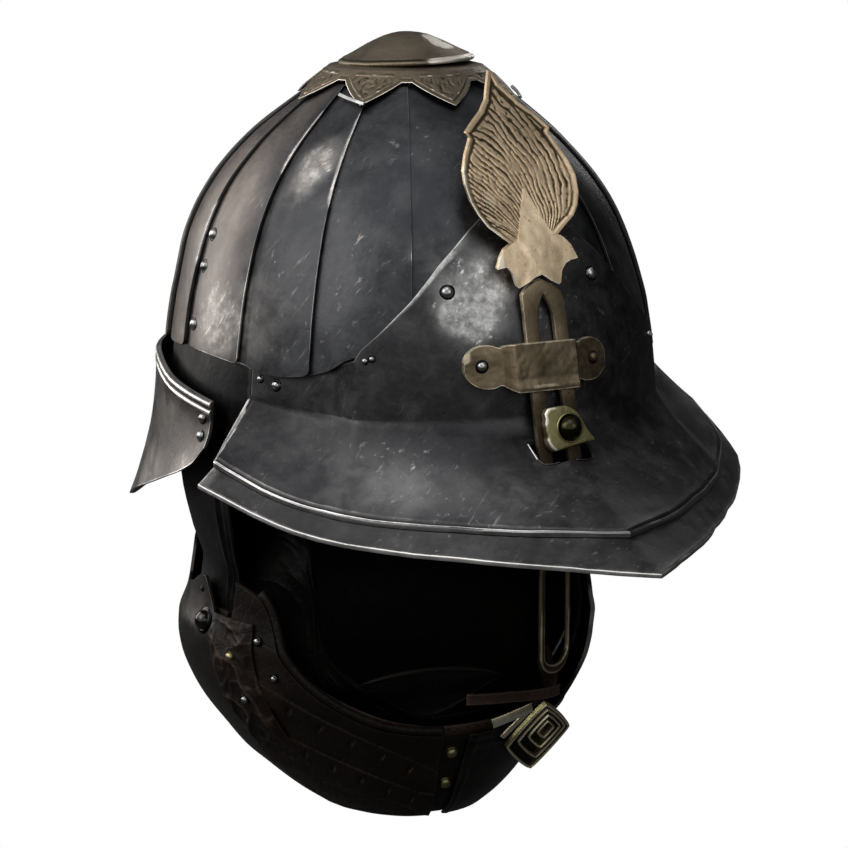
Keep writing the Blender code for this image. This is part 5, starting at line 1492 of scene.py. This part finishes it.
def rosette():
    plate = diamond(0.97)
    n = len(plate)
    verts = [ros_at + ros_rot @ Vector((x * k, y, z * k)) for k, y in ((0.96, 0.0), (1.0, -0.5), (0.95, -0.9), (0.0, -1.3))
             for x, z in plate]
    faces = [list(range(n))]
    for r in range(3):
        faces += [[r * n + i, r * n + (i + 1) % n, (r + 1) * n + (i + 1) % n, (r + 1) * n + i] for i in range(n)]
    verts = verts[:3 * n] + [ros_at + ros_rot @ Vector((0, -1.3, 0))]
    faces = [list(range(n))] + faces[1:1 + 2 * n] + [[2 * n + i, 2 * n + (i + 1) % n, 3 * n] for i in range(n)]
    piece("throat_rosette_plate", verts, faces, LEATHER, ["clasp_rosette"], attrs={"edge": [0.0] * len(verts)})
    for k, (scale, rise, high, drop) in enumerate(((0.93, -0.9, 2.2, 0.0), (0.70, -0.9, 3.0, 2.2), (0.47, -1.0, 3.5, 4.0),
                                                  (0.24, -1.0, 3.6, 5.2))):
        pts = [ros_at + ros_rot @ Vector((x, rise, z)) for x, z in diamond(scale, 64, drop)]
        rows = frames(pts, lambda i, p: ros_rot @ Vector((0, -1, 0)), True)
        sec = [(-0.75, -0.1), (-0.72, high * 0.8), (-0.25, high), (0.25, high), (0.75, high * 0.72), (0.8, -0.1)]
        tube("throat_rosette_%d" % (k + 1), rows, sec, BRASS_GOLD if k % 2 == 0 else BRASS_DARK, ["clasp_rosette"],
             closed=True, bevel=0.15, attrs={"edge": [1.0 if j in (2, 3) else 0.0 for p in rows for j in range(6)]})


rosette()

# two folded strip ends beside the rosette
for k, (a0, z0, a1, z1) in enumerate(((13.5, -128.5, 2.6, -133.6), (12.6, -130.0, 8.2, -142.6))):
    pts = [collar(mix(a0, a1, t), mix(z0, z1, t) - 1.0, 6.0 - 1.5 * t) for t in steps(0, 1, 8)]
    rows = frames(pts, lambda i, p: Vector((p.x + 2, p.y - 15, -6)).normalized())
    wdt = 2.2 if k == 0 else 1.4
    tube("strap_bar_%d" % (k + 1), rows, [(-wdt, -0.5), (-wdt, 0.4), (0, 0.9), (wdt, 0.4), (wdt, -0.5)], BRASS_PALE, (),
         bevel=0.2, attrs={"edge": [0.0, 1.0, 0.6, 0.0, 0.0] * 9})

# the strap that the rosette hangs from, inside the throat plate's rim
band_phi = steps(-4, 40, 30)
band_at = [form(COLLAR, a, look(((-4, -123.5), (10, -126.0), (26, -130.5), (40, -134.5)), a), -3.6) for a in band_phi]
tube("rosette_band", frames(band_at, lambda i, p: Vector((p.x, p.y - 20, 0)).normalized()),
     [(-2.4, -0.5), (-2.4, 0.3), (-1.9, 0.55), (-1.5, 0.25), (1.5, 0.25), (1.9, 0.55), (2.4, 0.3), (2.4, -0.5)],
     LEATHER_BELT, (), attrs={"wear": [0.5 if k in (2, 5) else 0.0 for i in range(31) for k in range(8)]})

# ---------------------------------------------------------------- rivets

for tag, phi, z, r, h in (("brow", 18.6, 57.2, 2.3, 1.7), ("temple", 57.6, 15.9, 2.0, 1.7), ("ear", 62.6, 17.4, 1.4, 1.3)):
    for side, s in ((-1, "r"), (1, "l")):
        if tag == "brow" and side > 0:
            phi, z = 15.2, 60.3
        rivet("head_%s_%s" % (tag, s), lambda a, b: skull(a, b, 0), side * phi, z,
              plate_off(phi) + swell(side * phi, z) - 0.1, r, h, None,
              ["rivet_%s_%s" % (tag, s)])
for k, (phi, z) in enumerate(((35.1, 30.4), (33.7, 31.3))):
    for side, s in ((-1, "r"), (1, "l")):
        rivet("head_small%d_%s" % (k + 1, s), lambda a, b: skull(a, b, 0), side * phi, z, plate_off(phi) - 0.1, 1.15, 1.0)
for k, z in enumerate((70.0, 57.0, 33.0)):
    for side, s in ((-1, "r"), (1, "l")):
        rivet("head_lame%d_%s" % (k + 1, s), lambda a, b: skull(a, b, 0), side * 91.3, z, -2.2, 2.1, 1.6, None,
              ["rivet_lame%d_%s" % (k + 1, s)])


def guard_pt(phi, z):
    f = abs(phi)
    zt, zb, fl = smooth(NECK_GUARD, f, 1) - 5.4, smooth(NECK_GUARD, f, 2), smooth(NECK_GUARD, f, 3)
    s = min(1.2, max(0.0, (z - zt) / (zb - zt)))
    return skull(phi, z, 2.0 + (fl - 0.4) * s * s)


for k, z in enumerate((-2.4, -9.6)):
    for side, s in ((-1, "r"), (1, "l")):
        rivet("head_guard%d_%s" % (k + 1, s), guard_pt, side * 79.2, z, 0.0, 1.9, 1.5)

# ---------------------------------------------------------------- floor, light, camera

bpy.ops.mesh.primitive_plane_add(size=40, location=(0, 0, -0.62))
floor = bpy.context.active_object
floor.name = "floor"
fg = Graph("floor_pale")
fg.shade((0.05, 0.05, 0.05), 0.9, 0.0)
pale_floor = fg.t.nodes.new("ShaderNodeEmission")
fg.put(pale_floor.inputs["Color"], fg.mix(fg.remap(fg.noise(3, 4, 0.5), 0.3, 0.7), (0.996, 0.996, 0.996), (1.0, 1.0, 1.0)))
seen = fg.t.nodes.new("ShaderNodeLightPath")
choose = fg.t.nodes.new("ShaderNodeMixShader")
fg.t.links.new(seen.outputs["Is Camera Ray"], choose.inputs[0])
fg.t.links.new(fg.bsdf.outputs[0], choose.inputs[1])
fg.t.links.new(pale_floor.outputs[0], choose.inputs[2])
fg.t.links.new(choose.outputs[0], fg.out.inputs[0])
floor.data.materials.append(fg.mat)

world = bpy.data.worlds.new("studio")
bpy.context.scene.world = world
world.use_nodes = True
wt = world.node_tree
wt.nodes.clear()


def wnode(kind, **inputs):
    n = wt.nodes.new(kind)
    for key, v in inputs.items():
        n.inputs[int(key[1:])].default_value = v
    return n


wo = wt.nodes.new("ShaderNodeOutputWorld")
wdir = wt.nodes.new("ShaderNodeTexCoord")
dot = wt.nodes.new("ShaderNodeVectorMath")
dot.operation = "DOT_PRODUCT"
wt.links.new(wdir.outputs["Generated"], dot.inputs[0])
dot.inputs[1].default_value = Vector((-0.78, -0.30, 0.55)).normalized()
sky = wt.nodes.new("ShaderNodeMapRange")
sky.interpolation_type = "SMOOTHSTEP"
for key, v in zip(("From Min", "From Max", "To Min", "To Max"), (-0.55, 1.0, 0.035, SKY)):
    sky.inputs[key].default_value = v
wt.links.new(dot.outputs["Value"], sky.inputs["Value"])
sep = wt.nodes.new("ShaderNodeSeparateXYZ")
wt.links.new(wdir.outputs["Generated"], sep.inputs[0])
down = wt.nodes.new("ShaderNodeMapRange")
down.interpolation_type = "SMOOTHSTEP"
for key, v in zip(("From Min", "From Max", "To Min", "To Max"), (-0.45, 0.25, 0.10, 1.0)):
    down.inputs[key].default_value = v
wt.links.new(sep.outputs["Z"], down.inputs["Value"])
both = wt.nodes.new("ShaderNodeMath")
both.operation = "MULTIPLY"
wt.links.new(sky.outputs[0], both.inputs[0])
wt.links.new(down.outputs[0], both.inputs[1])
dim = wt.nodes.new("ShaderNodeBackground")
dim.inputs[0].default_value = (0.97, 0.985, 1.0, 1)
wt.links.new(both.outputs[0], dim.inputs[1])
pale = wt.nodes.new("ShaderNodeBackground")
pale.inputs[0].default_value = (1, 1, 1, 1)
pale.inputs[1].default_value = 1.0
path = wt.nodes.new("ShaderNodeLightPath")
blend = wt.nodes.new("ShaderNodeMixShader")
wt.links.new(path.outputs["Is Camera Ray"], blend.inputs[0])
wt.links.new(dim.outputs[0], blend.inputs[1])
wt.links.new(pale.outputs[0], blend.inputs[2])
wt.links.new(blend.outputs[0], wo.inputs[0])


def softbox(name, az, el, dist, size, power, color=(1, 1, 1), aim=(0, 0, 0.03)):
    a, e = math.radians(az), math.radians(el)
    back = Vector((math.sin(a) * math.cos(e), -math.cos(a) * math.cos(e), math.sin(e)))
    data = bpy.data.lights.new(name, "AREA")
    data.shape = "RECTANGLE"
    data.size, data.size_y = size
    data.energy = power
    data.color = color
    ob = bpy.data.objects.new(name, data)
    bpy.context.scene.collection.objects.link(ob)
    ob.location = Vector(aim) + back * dist
    ob.rotation_mode = "QUATERNION"
    ob.rotation_quaternion = (-back).to_track_quat("-Z", "Y")
    return ob


softbox("key", -98, 34, 1.5, (1.1, 1.1), 10, (1.0, 0.975, 0.95))
softbox("rim", -150, 14, 1.5, (0.6, 1.1), 7, (1.0, 0.97, 0.94))
softbox("top", -45, 72, 1.5, (0.9, 0.9), 3.2, (0.97, 0.98, 1.0))
softbox("front", 6, 30, 1.9, (0.9, 0.9), 3.0, (1, 1, 1))
softbox("far_rim", 132, 24, 1.6, (0.2, 1.0), 1.6, (1, 1, 1))

AZ, EL, DIST, LENS = math.radians(-27.0), math.radians(12.0), 1.2, 117.17
back = Vector((math.sin(AZ) * math.cos(EL), -math.cos(AZ) * math.cos(EL), math.sin(EL)))
cam_data = bpy.data.cameras.new("camera")
cam = bpy.data.objects.new("camera", cam_data)
bpy.context.scene.collection.objects.link(cam)
cam.location = Vector((0, 0, -0.0186)) + back * DIST
cam.rotation_mode = "QUATERNION"
cam.rotation_quaternion = (-back).to_track_quat("-Z", "Y")
cam_data.sensor_width = 36.0
cam_data.lens = LENS
cam_data.shift_x = 18.0 / 848.0
cam_data.clip_start, cam_data.clip_end = 0.05, 60.0
bpy.context.scene.camera = cam
bpy.context.scene.view_settings.view_transform = "Standard"
bpy.context.scene.view_settings.look = "None"
